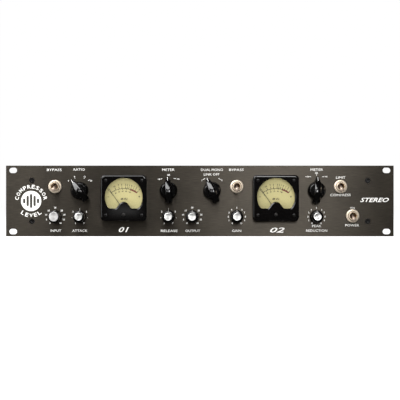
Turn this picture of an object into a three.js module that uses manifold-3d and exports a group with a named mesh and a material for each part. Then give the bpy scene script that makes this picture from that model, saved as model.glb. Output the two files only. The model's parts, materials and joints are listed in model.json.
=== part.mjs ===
// A two-channel studio compressor in a two-unit, 19 inch rack case, built from its separate pieces.
//
// Millimetres. +X is to the right seen from the front, +Y runs from the front panel to the rear, +Z is up.
// While it is modelled, y = 0 is the panel's front face, z = 0 its lower edge and x = 0 its middle.
// At the end the whole group is moved along Y, so that the origin is the middle of the footprint.
import * as THREE from "three";
import { mergeVertices } from "three/addons/utils/BufferGeometryUtils.js";
import Module from "manifold-3d";

const wasm = await Module();
wasm.setup();

// ---------- Driving dimensions ----------

const GAP = 0.3; // between two pieces that rest on each other
const PAST = 1; // how far a cutting tool runs past the face it cuts through
const SIDES = [["left", -1], ["right", 1]];
const LEVELS = [["upper", 1], ["lower", -1]];

// Sides of a round shape, by its size.
const LARGE = 24;
const MEDIUM = 16;
const SMALL = 10;
const TINY = 8;

// Front panel: a two-unit panel of the 19 inch standard, in 1/8 inch aluminium. Between the ears its rear
// face is milled back by the relief, so that only the ears meet the rack's rails.
const PANEL = { half: 241.3, height: 88.1, thick: 3.2, earStart: 217.5, relief: 0.3 };
const RACK_SLOT = { x: 232.55, z: 38.1, width: 10, height: 6.8 };
const MID = PANEL.height / 2;
const PANEL_SCREW = { x: 209, z: 25.4, top: 0.1, head: 3, shank: 1.5, length: 11, socket: 2.5, deep: 1.4 };

// Case: a steel tray, a rear panel set into it and a lid over both.
const CASE = { half: 214.4, depth: 206.5, sheet: 1.2, bottom: 0.8, wallTop: 85.8, tab: 13, nut: 3.3 };
const FLOOR = CASE.bottom + CASE.sheet + GAP; // where the pieces on the tray's floor stand
const BEHIND_PANEL = PANEL.thick + GAP;
const LID = { half: 215.9, bottom: 86.1, lip: 12, slots: 8, pitch: 9, slotWidth: 84, slotHeight: 3.4 };

// Rows and columns of the controls. Heights are measured from the middle of the panel.
const ROW = { pots: -19.5, selectors: 13, toggles: 18, power: -18.5, meters: 3.7 };
const METER_X = 94.2;
const POTS = [
  { name: "input", x: -180 },
  { name: "attack", x: -149.5 },
  { name: "release", x: -39 },
  { name: "output", x: -9.5 },
  { name: "gain", x: 46 },
  { name: "peak_reduction", x: 145.2 },
];
// rest is how far clockwise of upright the pointer stands, in degrees.
const SELECTORS = [
  { name: "ratio", x: -149.5, rest: -42 },
  { name: "left_meter_select", x: -39, rest: 0 },
  { name: "link", x: 15, rest: -26 },
  { name: "right_meter_select", x: 145.2, rest: 0 },
];
const TOGGLES = [
  { name: "left_bypass", x: -180, z: ROW.toggles },
  { name: "right_bypass", x: 46, z: ROW.toggles },
  { name: "limit_compress", x: 175, z: ROW.toggles },
  { name: "power", x: 190, z: ROW.power },
];

// Fronts are distances ahead of the panel's face, along -Y.
const CAN = { front: PANEL.thick + 0.9, depth: 12.5, pot: 8.2, wafer: 11 };
const BUSHING = { radius: 4.7, hole: 5.1, front: 3, nutFlats: 11, nutThick: 2.2 };
const SHAFT = { radius: 3.1, bore: 3.5, front: 12, rear: 10 };
const KNOB = { height: 17, cap: 5.4, neck: 6.9, foot: 7.5, skirt: 8.2, recess: 6.9 };
const BAR = { height: 18, dome: 11.2, domeHeight: 11, tip: 17.4, tail: 15.8, recess: 7.4, slope: 2.2 };
const KNOB_CLEAR = 0.9; // between a knob and the panel
const RECESS_DEPTH = 3.4;
const BOARD = { low: -31, high: 27, thick: 1.6, meterGap: 1.7, switchHalf: 10 };
const TOGGLE = { nut: 8.2, bushing: 5.85, hole: 6.2, front: 8.5, half: 7.2, reach: 14, depth: 17, tilt: 12 };
const LEVER = { pivotY: 1, length: 21, ball: 2.5, neck: 1.6, tip: 2.7 };

// Moving-coil meters. Heights are from the middle of the meter's cover.
const METER = { side: 57, corner: 5, height: 11, bevel: 2.3, wall: 2.8, inner: 52, barrel: 21.3, hole: 22 };
const METER_CASE = { front: 2.2, rear: 32, terminal: 2, terminalX: 9, terminalLength: 8, bearing: 1.3 };
const WINDOW = { radius: 23.3, z: 1.3, floor: -13, cornerX: 16.8, cornerRise: 2.6 };
const HUMP = { half: 10.3, top: -4.7 };
const GLASS_PANE = { width: 50.6, height: 43, z: 4, front: 7.9, thick: 1.2 };
const DIAL = { half: 24.5, low: -14.5, high: 25.3, front: 3.2, thick: 0.6, notch: 6 };
const NEEDLE = { pivotZ: -15.7, length: 31.5, rest: -35, front: 4.9, thick: 0.5, tail: 8.6 };
const AXLE = { hub: 2.4, radius: 0.9, rear: 3.3 };
const ZERO = { z: -20.7, head: 2.2, shank: 1.3, hole: 1.7, slot: 0.8 };

// Rear connectors: two sockets with a latch for the inputs, two plugs for the outputs, and a mains inlet.
const JACK = { width: 26, height: 31, flange: 2.2, body: 11.6, hole: 12, depth: 20 };
const SLEEVE = { depth: 10, inner: 7.9, outer: 9.7 }; // the room for a plug's metal sleeve
const JACKS = [
  { name: "left_input_jack", x: -165, socket: true },
  { name: "left_output_jack", x: -128, socket: false },
  { name: "right_input_jack", x: -70, socket: true },
  { name: "right_output_jack", x: -33, socket: false },
];
const JACK_SCREW = { x: 9.5, z: 12, hole: 1.6 };
const CONTACT = { circle: 3.9, pin: 1.2, hole: 1.4, angles: [30, 150, 270] };
const LATCH = { half: 4.5, low: 11.3, high: 14.2, inner: 1.7, outer: 4.2, clear: 0.35 };
const INLET = { x: 172, width: 50, height: 24, flange: 2.5, screwX: 20, screwHole: 1.8, wellDepth: 16 };
const INLET_WELL = { width: 24.6, height: 17, chamfer: 4.5, wall: 1.7 };
const INLET_PINS = [[0, 3], [-7, -1.5], [7, -1.5]];

// Inside: the power transformer stands right of the middle, and the audio board left of it.
const TOROID = { x: 118, y: 128, inner: 13, outer: 41, height: 34, corner: 7, washer: 26, bolt: 4, nut: 7 };
const AUDIO = { left: -200, right: 62, front: 58, rear: 176, low: 9, thick: 1.6, sunk: 0.3 };

// ---------- Making and joining closed solids ----------

function solidOf(geometry) {
  const bare = new THREE.BufferGeometry().setAttribute("position", geometry.getAttribute("position"));
  if (geometry.index) bare.setIndex(geometry.index);
  const merged = mergeVertices(bare, 1e-4);
  return new wasm.Manifold(
    new wasm.Mesh({
      numProp: 3,
      vertProperties: merged.attributes.position.array,
      triVerts: new Uint32Array(merged.index.array),
    }),
  );
}

function geometryOf(solid) {
  const mesh = solid.getMesh();
  const geometry = new THREE.BufferGeometry();
  geometry.setAttribute("position", new THREE.BufferAttribute(mesh.vertProperties, 3));
  geometry.setIndex(new THREE.BufferAttribute(mesh.triVerts, 1));
  return geometry;
}

const join = (...pieces) => geometryOf(pieces.map(solidOf).reduce((all, piece) => all.add(piece)));

const cut = (body, ...tools) =>
  geometryOf(tools.map(solidOf).reduce((rest, tool) => rest.subtract(tool), solidOf(body)));

// ---------- Outlines: lists of points (x, z), anticlockwise seen from the front ----------

const points = (...pairs) => pairs.map(([x, z]) => new THREE.Vector2(x, z));

const rectangle = (left, right, low, high) => points([left, low], [right, low], [right, high], [left, high]);

function arc(x, z, radius, from, to, steps) {
  return Array.from({ length: steps + 1 }, (_, i) => {
    const angle = THREE.MathUtils.degToRad(from + ((to - from) * i) / steps);
    return new THREE.Vector2(x + radius * Math.cos(angle), z + radius * Math.sin(angle));
  });
}

const circle = (x, z, radius, steps) => arc(x, z, radius, 0, 360 - 360 / steps, steps - 1);

const hexagon = (x, z, flats) => circle(x, z, flats / Math.sqrt(3), 6);

function roundedBox(x, z, width, height, radius, steps) {
  const [right, top] = [width / 2 - radius, height / 2 - radius];
  const corners = [[right, top, 0], [-right, top, 90], [-right, -top, 180], [right, -top, 270]];
  return corners.flatMap(([dx, dz, from]) => arc(x + dx, z + dz, radius, from, from + 90, steps));
}

const slot = (x, z, width, height, steps) => [
  ...arc(x + (width - height) / 2, z, height / 2, -90, 90, steps),
  ...arc(x - (width - height) / 2, z, height / 2, 90, 270, steps),
];

const moved = (outline, x, z) => outline.map((p) => new THREE.Vector2(p.x + x, p.y + z));

// ---------- Solids ----------

function extruded(outline, holes, depth) {
  const shape = new THREE.Shape(outline);
  shape.holes = holes.map((hole) => new THREE.Path(hole));
  return new THREE.ExtrudeGeometry(shape, { depth, bevelEnabled: false });
}

// A plate parallel to the front panel, from y0 to y1, with an outline in (x, z).
const plate = (outline, holes, y0, y1) =>
  extruded(outline, holes, y1 - y0).rotateX(Math.PI / 2).translate(0, y1, 0);

// A plate parallel to the floor, from z0 to z1, with an outline in (x, y).
const floorPlate = (outline, holes, z0, z1) => extruded(outline, holes, z1 - z0).translate(0, 0, z0);

// A box between two corners, which may be given in either order along X.
const block = (x0, x1, y0, y1, z0, z1) =>
  new THREE.BoxGeometry(Math.abs(x1 - x0), y1 - y0, z1 - z0)
    .translate((x0 + x1) / 2, (y0 + y1) / 2, (z0 + z1) / 2);

// A solid turned about an axis along Y. The profile is a list of [radius, y], from front to rear.
const turned = (profile, steps, x = 0, z = 0) =>
  new THREE.LatheGeometry(points(...profile), steps).translate(x, 0, z);

const cylinderProfile = (radius, from, to) => [[0, from], [radius, from], [radius, to], [0, to]];

const rod = (radius, y0, y1, steps, x = 0, z = 0) => turned(cylinderProfile(radius, y0, y1), steps, x, z);

// An upright round post.
const post = (x, y, radius, z0, z1, steps) =>
  turned(cylinderProfile(radius, z0, z1), steps).rotateX(Math.PI / 2).translate(x, y, 0);

// A closed solid through loops of equally many points, given from front to rear.
function loft(loops) {
  const count = loops[0].length;
  const index = [];
  for (let s = 0; s + 1 < loops.length; s++)
    for (let i = 0; i < count; i++) {
      const a = s * count + i;
      const b = s * count + ((i + 1) % count);
      index.push(a, a + count, b, b, a + count, b + count);
    }
  const flat = (loop) => loop.map((p) => new THREE.Vector2(p.x, p.z));
  const triangles = (loop) => THREE.ShapeUtils.triangulateShape(flat(loop), []);
  const last = (loops.length - 1) * count;
  for (const [i, j, k] of triangles(loops[0])) index.push(i, j, k);
  for (const [i, j, k] of triangles(loops.at(-1))) index.push(last + i, last + k, last + j);
  const geometry = new THREE.BufferGeometry().setFromPoints(loops.flat());
  geometry.setIndex(index);
  return geometry;
}

const atDepth = (outline, y) => outline.map((p) => new THREE.Vector3(p.x, y, p.y));

// ---------- Materials ----------

const finish = (color, roughness, metalness) =>
  new THREE.MeshStandardMaterial({ color, roughness, metalness });

const PANEL_BLACK = finish(0x3b3733, 0.5, 0.6);
const CASE_STEEL = finish(0x2a2a2a, 0.55, 0.7);
const BLACK_PLASTIC = finish(0x0c0b0b, 0.25, 0);
const BLACK_STEEL = finish(0x151414, 0.4, 0.9);
const NICKEL = finish(0xd8cbb6, 0.25, 1);
const STEEL = finish(0xb9bbbd, 0.35, 1);
const DIAL_CREAM = finish(0xd2c88f, 0.8, 0);
const GLASS = finish(0xe8eeea, 0.05, 0);
const BOARD_GREEN = finish(0x1d4a2c, 0.6, 0);
const WINDING = finish(0x8c6a2b, 0.5, 0.2);

// ---------- Case ----------

// The countersunk hole that takes a panel screw's head.
function countersink(x, z) {
  const [wide, narrow] = [PANEL_SCREW.head + 0.4, PANEL_SCREW.shank + 0.35];
  const rear = PANEL.thick + PAST;
  const profile = [[0, -PAST], [wide, -PAST], [wide, 0.2], [narrow, 1.95], [narrow, rear], [0, rear]];
  return turned(profile, SMALL, x, z);
}

function frontPanel() {
  const { half, height, thick, earStart, relief } = PANEL;
  const corners = SIDES.flatMap(([, sx]) => LEVELS.map(([, sz]) => [sx, sz]));
  const rackSlot = ([sx, sz]) =>
    slot(sx * RACK_SLOT.x, MID + sz * RACK_SLOT.z, RACK_SLOT.width, RACK_SLOT.height, 4);
  const holes = [
    ...corners.map(rackSlot),
    ...SIDES.map(([, sx]) => circle(sx * METER_X, MID + ROW.meters, METER.hole, LARGE)),
    ...POTS.map(({ x }) => circle(x, MID + ROW.pots, BUSHING.hole, TINY)),
    ...SELECTORS.map(({ x }) => circle(x, MID + ROW.selectors, BUSHING.hole, TINY)),
    ...TOGGLES.map(({ x, z }) => circle(x, MID + z, TOGGLE.hole, SMALL)),
  ];
  const milled = block(-earStart, earStart, thick - relief, thick + PAST, -PAST, height + PAST);
  const screwHoles = corners.map(([sx, sz]) => countersink(sx * PANEL_SCREW.x, MID + sz * PANEL_SCREW.z));
  return cut(plate(rectangle(-half, half, 0, height), holes, 0, thick), milled, ...screwHoles);
}

// A countersunk screw with a hexagon socket, from just under the panel's face to behind the tray's tab.
function panelScrew(x, z) {
  const { top, head, shank, length, socket, deep } = PANEL_SCREW;
  const point = 0.5;
  const profile = [[0, top], [head, top], [shank, top + head - shank], [shank, length - point],
    [shank - point, length], [0, length]];
  return cut(turned(profile, SMALL, x, z), plate(hexagon(x, z, socket), [], top - PAST, top + deep));
}

// The tray: a floor, two walls, and a tab with two pressed-in nuts behind each end of the panel.
function chassisTray() {
  const { half, depth, sheet, bottom, wallTop, tab, nut } = CASE;
  const rear = depth - GAP;
  const pieces = [block(-half, half, BEHIND_PANEL, rear, bottom, bottom + sheet)];
  const holes = [];
  for (const [, sx] of SIDES) {
    pieces.push(block(sx * half, sx * (half - sheet), BEHIND_PANEL, rear, bottom, wallTop));
    pieces.push(block(sx * half, sx * (half - tab), BEHIND_PANEL, BEHIND_PANEL + sheet, 7, wallTop - 4));
    for (const [, sz] of LEVELS) {
      const [x, z] = [sx * PANEL_SCREW.x, MID + sz * PANEL_SCREW.z];
      pieces.push(rod(nut, BEHIND_PANEL + sheet / 2, BEHIND_PANEL + 3 * sheet, TINY, x, z));
      holes.push(rod(PANEL_SCREW.shank + 0.35, BEHIND_PANEL - PAST, BEHIND_PANEL + 4 * sheet, TINY, x, z));
    }
  }
  return cut(join(...pieces), ...holes);
}

// The rear panel, with a hole for each connector and a flange at each end.
function rearPanel() {
  const { half, depth, sheet, wallTop } = CASE;
  const [end, flangeLength, flangeInset] = [half - sheet - 0.4, 14, 4];
  const room = 2 * INLET_WELL.wall + 1;
  const holes = JACKS.map(({ x }) => circle(x, MID, JACK.hole, MEDIUM));
  holes.push(roundedBox(INLET.x, MID, INLET_WELL.width + room, INLET_WELL.height + room, 2, 1));
  const flanges = SIDES.map(([, sx]) =>
    block(sx * end, sx * (end - sheet), depth - flangeLength, depth - sheet / 2, FLOOR + flangeInset,
      wallTop - flangeInset));
  return join(plate(rectangle(-end, end, FLOOR, wallTop), holes, depth - sheet, depth), ...flanges);
}

// A lid with a lip down each side and two banks of slots for air.
function topCover() {
  const { half, bottom, lip, slots, pitch, slotWidth, slotHeight } = LID;
  const { depth, sheet } = CASE;
  const rows = Array.from({ length: slots }, (_, i) => TOROID.y + (i - (slots - 1) / 2) * pitch);
  const holes = [-TOROID.x, TOROID.x].flatMap((x) => rows.map((y) => slot(x, y, slotWidth, slotHeight, 2)));
  const lips = SIDES.map(([, sx]) =>
    block(sx * half, sx * (half - sheet), BEHIND_PANEL, depth, bottom - lip, bottom + sheet / 2));
  const sheetOutline = rectangle(-half, half, BEHIND_PANEL, depth);
  return join(floorPlate(sheetOutline, holes, bottom, bottom + sheet), ...lips);
}

// ---------- Rotary controls ----------

// Takes the hollow for the bushing's nut and the hole for the shaft out of a knob.
function hollowed(knob, recess) {
  const shaftHole = rod(SHAFT.bore, -SHAFT.front - 0.5, 0, TINY);
  return cut(knob, rod(recess, -RECESS_DEPTH, 0, SMALL), shaftHole);
}

// A round knob with a flared skirt and a raised cap.
function roundKnob() {
  const { height, cap, neck, foot, skirt, recess } = KNOB;
  const profile = [[0, -height], [cap, -height], [cap + 0.6, -height + 0.6], [neck, -height + 1.4],
    [foot, -3.4], [skirt, -2.8], [skirt, -KNOB_CLEAR], [0, -KNOB_CLEAR]];
  return hollowed(turned(profile, MEDIUM), recess);
}

// A bar knob: a round dome crossed by a bar, which runs up to a narrow tip and down to a blunt tail.
function barKnob() {
  const { height, dome, domeHeight, tip, tail, recess, slope } = BAR;
  // Along the bar: its half width, the half width of the flat along its top, and the height of that flat.
  const stations = [
    { z: -tail, half: 3.4, flat: 1.6, top: 10 },
    { z: -tail + 2, half: 4.7, flat: 2.8, top: 13.5 },
    { z: -5, half: 4.8, flat: 3.1, top: height },
    { z: 2, half: 4.8, flat: 3.1, top: height },
    { z: tip - 5, half: 2.9, flat: 1.7, top: 10.5 },
    { z: tip, half: 1.3, flat: 0.7, top: 7.5 },
  ];
  const loop = (halfWidth, front, length) => [
    ...stations.map((s) => new THREE.Vector3(halfWidth(s), -front(s), s.z * length)),
    ...stations.toReversed().map((s) => new THREE.Vector3(-halfWidth(s), -front(s), s.z * length)),
  ];
  const bar = loft([
    loop((s) => s.flat, (s) => s.top, 0.96),
    loop((s) => s.half, (s) => s.top - slope, 0.99),
    loop((s) => s.half, () => KNOB_CLEAR + 0.4, 1),
  ]);
  const profile = [[0, -domeHeight], [7.5, -domeHeight], [10.2, -9.4], [dome, -4], [dome, -KNOB_CLEAR],
    [0, -KNOB_CLEAR]];
  return hollowed(join(turned(profile, MEDIUM), bar), recess);
}

const controlShaft = (x, z) => rod(SHAFT.radius, -SHAFT.front, SHAFT.rear, SMALL, x, z);

// The fixed half of a control: its can, its bushing through the panel and the nut that holds it there.
function controlBody(x, z, canRadius) {
  const body = join(
    rod(canRadius, CAN.front, CAN.front + CAN.depth, SMALL, x, z),
    rod(BUSHING.radius, -BUSHING.front, CAN.front + PAST, TINY, x, z),
    plate(hexagon(x, z, BUSHING.nutFlats), [], -GAP - BUSHING.nutThick, -GAP),
  );
  return cut(body, rod(SHAFT.bore, -BUSHING.front - PAST, SHAFT.rear + GAP, TINY, x, z));
}

// A circuit board that carries one channel's controls, cut away around its meter and its bypass switch.
function controlBoard(left, right, meterX, switchX, controls) {
  const front = CAN.front + CAN.depth - 0.5;
  const rear = front + BOARD.thick;
  const window = METER.barrel + BOARD.meterGap;
  const meterZ = MID + ROW.meters;
  const notch = (x, half, low) =>
    block(x - half, x + half, front - PAST, rear + PAST, low, MID + BOARD.high + PAST);
  const board = cut(
    plate(rectangle(left, right, MID + BOARD.low, MID + BOARD.high), [], front, rear),
    rod(window, front - PAST, rear + PAST, MEDIUM, meterX, meterZ),
    notch(meterX, window - 0.5, meterZ + 4),
    notch(switchX, BOARD.switchHalf, MID),
  );
  return join(board, ...controls);
}

// ---------- Toggle switches ----------

// The switch's case, its three lugs and its threaded bushing, with the round dress nut run down on it.
function toggleBody({ x, z }) {
  const { nut, bushing, front, half, reach, depth } = TOGGLE;
  const [height, rear, pivotY] = [MID + z, CAN.front + depth, LEVER.pivotY];
  const lugs = [-8, 0, 8].map((dz) =>
    block(x - 1.6, x + 1.6, rear - PAST, rear + 5, height + dz - 0.5, height + dz + 0.5));
  const dressNut = [[0, -3.9], [nut - 1.4, -3.9], [nut, -3.1], [nut, -0.4], [0, -0.4]];
  const body = join(
    block(x - half, x + half, CAN.front, rear, height - reach, height + reach),
    rod(bushing, -front, CAN.front + PAST, SMALL, x, height),
    turned(dressNut, MEDIUM, x, height),
    ...lugs,
  );
  // The bore widens to the front, so that the lever can tilt, and holds the lever's ball at the back.
  const bore = [[0, -front - PAST], [4.75, -front - PAST], [4.6, -front], [3.4, pivotY - 3],
    [3.6, pivotY + 3.6], [0, pivotY + 3.6]];
  return cut(body, turned(bore, SMALL, x, height));
}

// A bat lever on its ball, resting with its tip down.
function toggleLever({ x, z }) {
  const { pivotY, length, ball, neck, tip } = LEVER;
  const profile = [[0, -length], [tip - 0.9, -length + 0.4], [tip, -length + 2], [tip, -length + 3.6],
    [neck, -7.5], [neck, -2.4], [ball, -0.9], [ball, 0.9], [1.2, 2.5], [0, 2.7]];
  return turned(profile, TINY).rotateX(THREE.MathUtils.degToRad(TOGGLE.tilt)).translate(x, pivotY, MID + z);
}

// ---------- Meters ----------

// The window's outline: a circle with a flat floor, and a hump in the floor over the moving coil.
function windowOutline() {
  const { radius, z, floor, cornerX, cornerRise } = WINDOW;
  const start = THREE.MathUtils.radToDeg(Math.asin((floor + cornerRise - z) / radius));
  const hump = new THREE.CubicBezierCurve(
    ...points([-HUMP.half, floor], [0.74 * -HUMP.half, floor], [0.64 * -HUMP.half, HUMP.top], [0, HUMP.top]));
  const left = hump.getPoints(4);
  const right = left.slice(0, -1).reverse().map((p) => new THREE.Vector2(-p.x, p.y));
  return [
    ...arc(0, z, radius, start, 180 - start, MEDIUM),
    new THREE.Vector2(-cornerX, floor), ...left, ...right, new THREE.Vector2(cornerX, floor),
  ];
}

// The moulded cover: a shallow box open at the back, with a bevelled front and the shaped window.
function meterCover(x, z) {
  const { side, corner, height, bevel, wall, inner } = METER;
  const outline = (width, radius) => roundedBox(x, z, width, width, radius, 3);
  const cover = loft([
    atDepth(outline(side - 2 * bevel, corner - 2), -height),
    atDepth(outline(side, corner), -height + bevel),
    atDepth(outline(side, corner), -GAP),
  ]);
  const inside = plate(roundedBox(x, z, inner, inner, 2.5, 2), [], -height + wall, PAST);
  const opening = plate(moved(windowOutline(), x, z), [], -height - PAST, 0);
  return cut(cover, inside, opening, rod(ZERO.hole, -height - PAST, 0, TINY, x, z + ZERO.z));
}

// The barrel behind the panel holds the magnet and coil, a bearing for the axle and two terminals.
function meterCase(x, z) {
  const { front, rear, terminal, terminalX, terminalLength, bearing } = METER_CASE;
  const { barrel } = METER;
  const profile = [[0, -front], [barrel, -front], [barrel, rear - 1], [barrel - 1, rear], [0, rear]];
  const terminals = [-terminalX, terminalX].map((dx) =>
    rod(terminal, rear - PAST, rear + terminalLength, TINY, x + dx, z));
  const body = join(turned(profile, MEDIUM, x, z), ...terminals);
  return cut(body, rod(bearing, -front - PAST, 4, TINY, x, z + NEEDLE.pivotZ));
}

function meterDial(x, z) {
  const { half, low, high, front, thick, notch } = DIAL;
  const face = plate(moved(rectangle(-half, half, low, high), x, z), [], -front, -front + thick);
  return cut(face, rod(notch, -front - PAST, 0, SMALL, x, z + NEEDLE.pivotZ));
}

function meterWindow(x, z) {
  const { width, height, front, thick } = GLASS_PANE;
  return plate(roundedBox(x, z + GLASS_PANE.z, width, height, 2, 1), [], -front, -front + thick);
}

// The needle upright about its pivot: a tapered blade, a short tail that balances it, a hub and an axle.
function meterNeedle() {
  const { length, front, thick, tail } = NEEDLE;
  const rear = -front + thick;
  const taper = [[0.5, 0], [0.3, length], [-0.3, length], [-0.5, 0]];
  const blade = points([-0.7, -tail + 1], [0.7, -tail + 1], ...taper);
  return join(
    plate(blade, [], -front, rear),
    plate(rectangle(-1.7, 1.7, -tail, -tail + 2.6), [], -front - 0.1, rear + 0.2),
    rod(AXLE.hub, -front - 0.3, rear + 0.6, TINY),
    rod(AXLE.radius, rear - 0.2, AXLE.rear, TINY),
  );
}

// The zero adjuster: a slotted head outside the cover, joined by a shank to a collar inside it.
function zeroScrew() {
  const { head, shank, slot: slotWidth } = ZERO;
  const front = -METER.height;
  const inside = front + METER.wall + GAP;
  const profile = [[0, front - 1], [head, front - 0.8], [head, front - GAP], [shank, front - GAP],
    [shank, inside], [head, inside], [head, inside + 0.9], [0, inside + 0.9]];
  const driverSlot = block(-head - PAST, head + PAST, front - 2, front - 0.55, -slotWidth / 2, slotWidth / 2);
  return cut(turned(profile, TINY), driverSlot);
}

// ---------- Rear connectors ----------

// A three-pin locking connector. A socket has a ring for the plug's sleeve, three contact holes and a
// pocket for its latch. A plug has an open well with three pins.
function jack({ x, socket }) {
  const rear = CASE.depth;
  const face = rear + GAP + JACK.flange;
  const screwHoles = SIDES.map(([, s]) =>
    circle(x + s * JACK_SCREW.x, MID - s * JACK_SCREW.z, JACK_SCREW.hole, TINY));
  const flange = plate(roundedBox(x, MID, JACK.width, JACK.height, 3, 2), screwHoles, rear + GAP, face);
  const body = join(flange, rod(JACK.body, rear - JACK.depth, rear + 2 * GAP, MEDIUM, x, MID));
  const contacts = CONTACT.angles.map((angle) => arc(x, MID, CONTACT.circle, angle, angle, 1)[0]);
  const wellFloor = rear - SLEEVE.depth;
  if (!socket) {
    const pins = contacts.map((p) => rod(CONTACT.pin, wellFloor - PAST, face - 1, TINY, p.x, p.y));
    return join(cut(body, rod(SLEEVE.inner, wellFloor, face + PAST, MEDIUM, x, MID)), ...pins);
  }
  const { inner, outer } = SLEEVE;
  const sleeveRing = [[inner, wellFloor], [outer, wellFloor], [outer, face + PAST], [inner, face + PAST],
    [inner, wellFloor]];
  const contactHoles = contacts.map((p) => rod(CONTACT.hole, wellFloor + 2, face + PAST, TINY, p.x, p.y));
  const { half, low, high, clear } = LATCH;
  const [reach, bottom, top] = [half + clear, MID + low - clear, MID + high + clear];
  const pocket = block(x - reach, x + reach, rear, face + PAST, bottom, top);
  return cut(body, turned(sleeveRing, MEDIUM, x, MID), pocket, ...contactHoles);
}

const jackLatch = ({ x }) =>
  block(x - LATCH.half, x + LATCH.half, CASE.depth + LATCH.inner, CASE.depth + LATCH.outer,
    MID + LATCH.low, MID + LATCH.high);

// The mains inlet: a flange with two screw holes round a deep well with three flat pins.
function mainsInlet() {
  const { x, flange, screwX, screwHole, wellDepth } = INLET;
  const { width, height, chamfer, wall } = INLET_WELL;
  const [rear, face] = [CASE.depth, CASE.depth + GAP + flange];
  const screwHoles = [-screwX, screwX].map((dx) => circle(x + dx, MID, screwHole, TINY));
  const body = join(
    plate(roundedBox(x, MID, INLET.width, INLET.height, 6, 3), screwHoles, rear + GAP, face),
    plate(roundedBox(x, MID, width + 2 * wall, height + 2 * wall, 1.8, 1), [], rear - wellDepth - 2,
      rear + 2 * GAP),
  );
  const [right, top] = [width / 2, height / 2];
  const well = points([-right, -top], [right, -top], [right, top - chamfer], [right - chamfer, top],
    [-right + chamfer, top], [-right, top - chamfer]);
  const pins = INLET_PINS.map(([dx, dz]) =>
    block(x + dx - 1, x + dx + 1, rear - wellDepth - PAST, face - 3, MID + dz - 2, MID + dz + 2));
  return join(cut(body, plate(moved(well, x, MID), [], rear - wellDepth, face + PAST)), ...pins);
}

// ---------- Inside the case ----------

// The audio board on six legs, with four line transformers, four reservoir capacitors, the optical gain
// cell, a finned heat sink and a row of chips.
function mainBoard() {
  const { left, right, front, rear, low, thick, sunk } = AUDIO;
  const base = low + thick - sunk;
  const above = (height) => low + thick + height;
  const legs = [left + 8, -66, right - 8].flatMap((x) =>
    [front + 8, rear - 8].map((y) => post(x, y, 3.2, FLOOR, low + sunk, TINY)));
  const transformers = [-178, -134, -62, -18].flatMap((x) => [
    block(x - 15, x + 15, 150, 162, base, above(27)),
    block(x - 10, x + 10, 144, 168, base, above(20)),
  ]);
  const capacitors = [18, 42].flatMap((x) => [96, 122].map((y) => post(x, y, 9, base, above(32), SMALL)));
  const fins = [0, 1, 2, 3].map((i) => block(-2 + i * 16, i * 16, 71, 80, base, above(26)));
  const chips = [0, 1, 2, 3].map((i) => block(-186 + i * 40, -176 + i * 40, 110, 118, base, above(4)));
  return join(
    block(left, right, front, rear, low, low + thick), ...legs, ...transformers, ...capacitors,
    post(-96, 92, 10, base, above(26), SMALL), block(-4, 52, 70, 72, base, above(26)), ...fins, ...chips,
  );
}

// A ring-shaped transformer lying flat, with rounded edges.
function powerTransformer() {
  const { x, y, inner, outer, height, corner } = TOROID;
  const [low, high] = [FLOOR, FLOOR + height];
  const profile = [[inner, low + corner], [inner + corner, low], [outer - corner, low], [outer, low + corner],
    [outer, high - corner], [outer - corner, high], [inner + corner, high], [inner, high - corner],
    [inner, low + corner]];
  return turned(profile, LARGE).rotateX(Math.PI / 2).translate(x, y, 0);
}

// The washer over the transformer, with the bolt and nut that clamp it to the tray.
function transformerClamp() {
  const { x, y, height, washer, bolt, nut } = TOROID;
  const top = FLOOR + height + GAP;
  return join(
    post(x, y, washer, top, top + 1.6, MEDIUM),
    post(x, y, bolt, FLOOR, top + 9, TINY),
    post(x, y, nut, top + 1, top + 6.6, 6),
  );
}

// ---------- Assembly ----------

const model = new THREE.Group();

function add(name, geometry, material) {
  const mesh = new THREE.Mesh(geometry, material);
  mesh.name = name;
  model.add(mesh);
  return mesh;
}

function addCase() {
  add("front_panel", frontPanel(), PANEL_BLACK);
  add("chassis_tray", chassisTray(), CASE_STEEL);
  add("rear_panel", rearPanel(), CASE_STEEL);
  add("top_cover", topCover(), CASE_STEEL);
  for (const [side, sx] of SIDES)
    for (const [level, sz] of LEVELS)
      add(`${level}_${side}_panel_screw`, panelScrew(sx * PANEL_SCREW.x, MID + sz * PANEL_SCREW.z),
        BLACK_STEEL);
}

function addRotaryControls() {
  for (const { name, x } of POTS) {
    add(`${name}_knob`, roundKnob(), BLACK_PLASTIC).position.set(x, 0, MID + ROW.pots);
    add(`${name}_shaft`, controlShaft(x, MID + ROW.pots), STEEL);
  }
  for (const { name, x, rest } of SELECTORS) {
    const knob = add(`${name}_knob`, barKnob(), BLACK_PLASTIC);
    knob.position.set(x, 0, MID + ROW.selectors);
    knob.rotation.y = THREE.MathUtils.degToRad(rest);
    add(`${name}_shaft`, controlShaft(x, MID + ROW.selectors), STEEL);
  }
}

function addControlBoard(side, left, right, meterX, switchX) {
  const onThisBoard = ({ x }) => x > left && x < right;
  const controls = [
    ...POTS.filter(onThisBoard).map(({ x }) => controlBody(x, MID + ROW.pots, CAN.pot)),
    ...SELECTORS.filter(onThisBoard).map(({ x }) => controlBody(x, MID + ROW.selectors, CAN.wafer)),
  ];
  add(`${side}_control_board`, controlBoard(left, right, meterX, switchX, controls), BOARD_GREEN);
}

function addToggles() {
  for (const toggle of TOGGLES) {
    add(`${toggle.name}_switch`, toggleBody(toggle), NICKEL);
    add(`${toggle.name}_lever`, toggleLever(toggle), NICKEL);
  }
}

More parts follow.
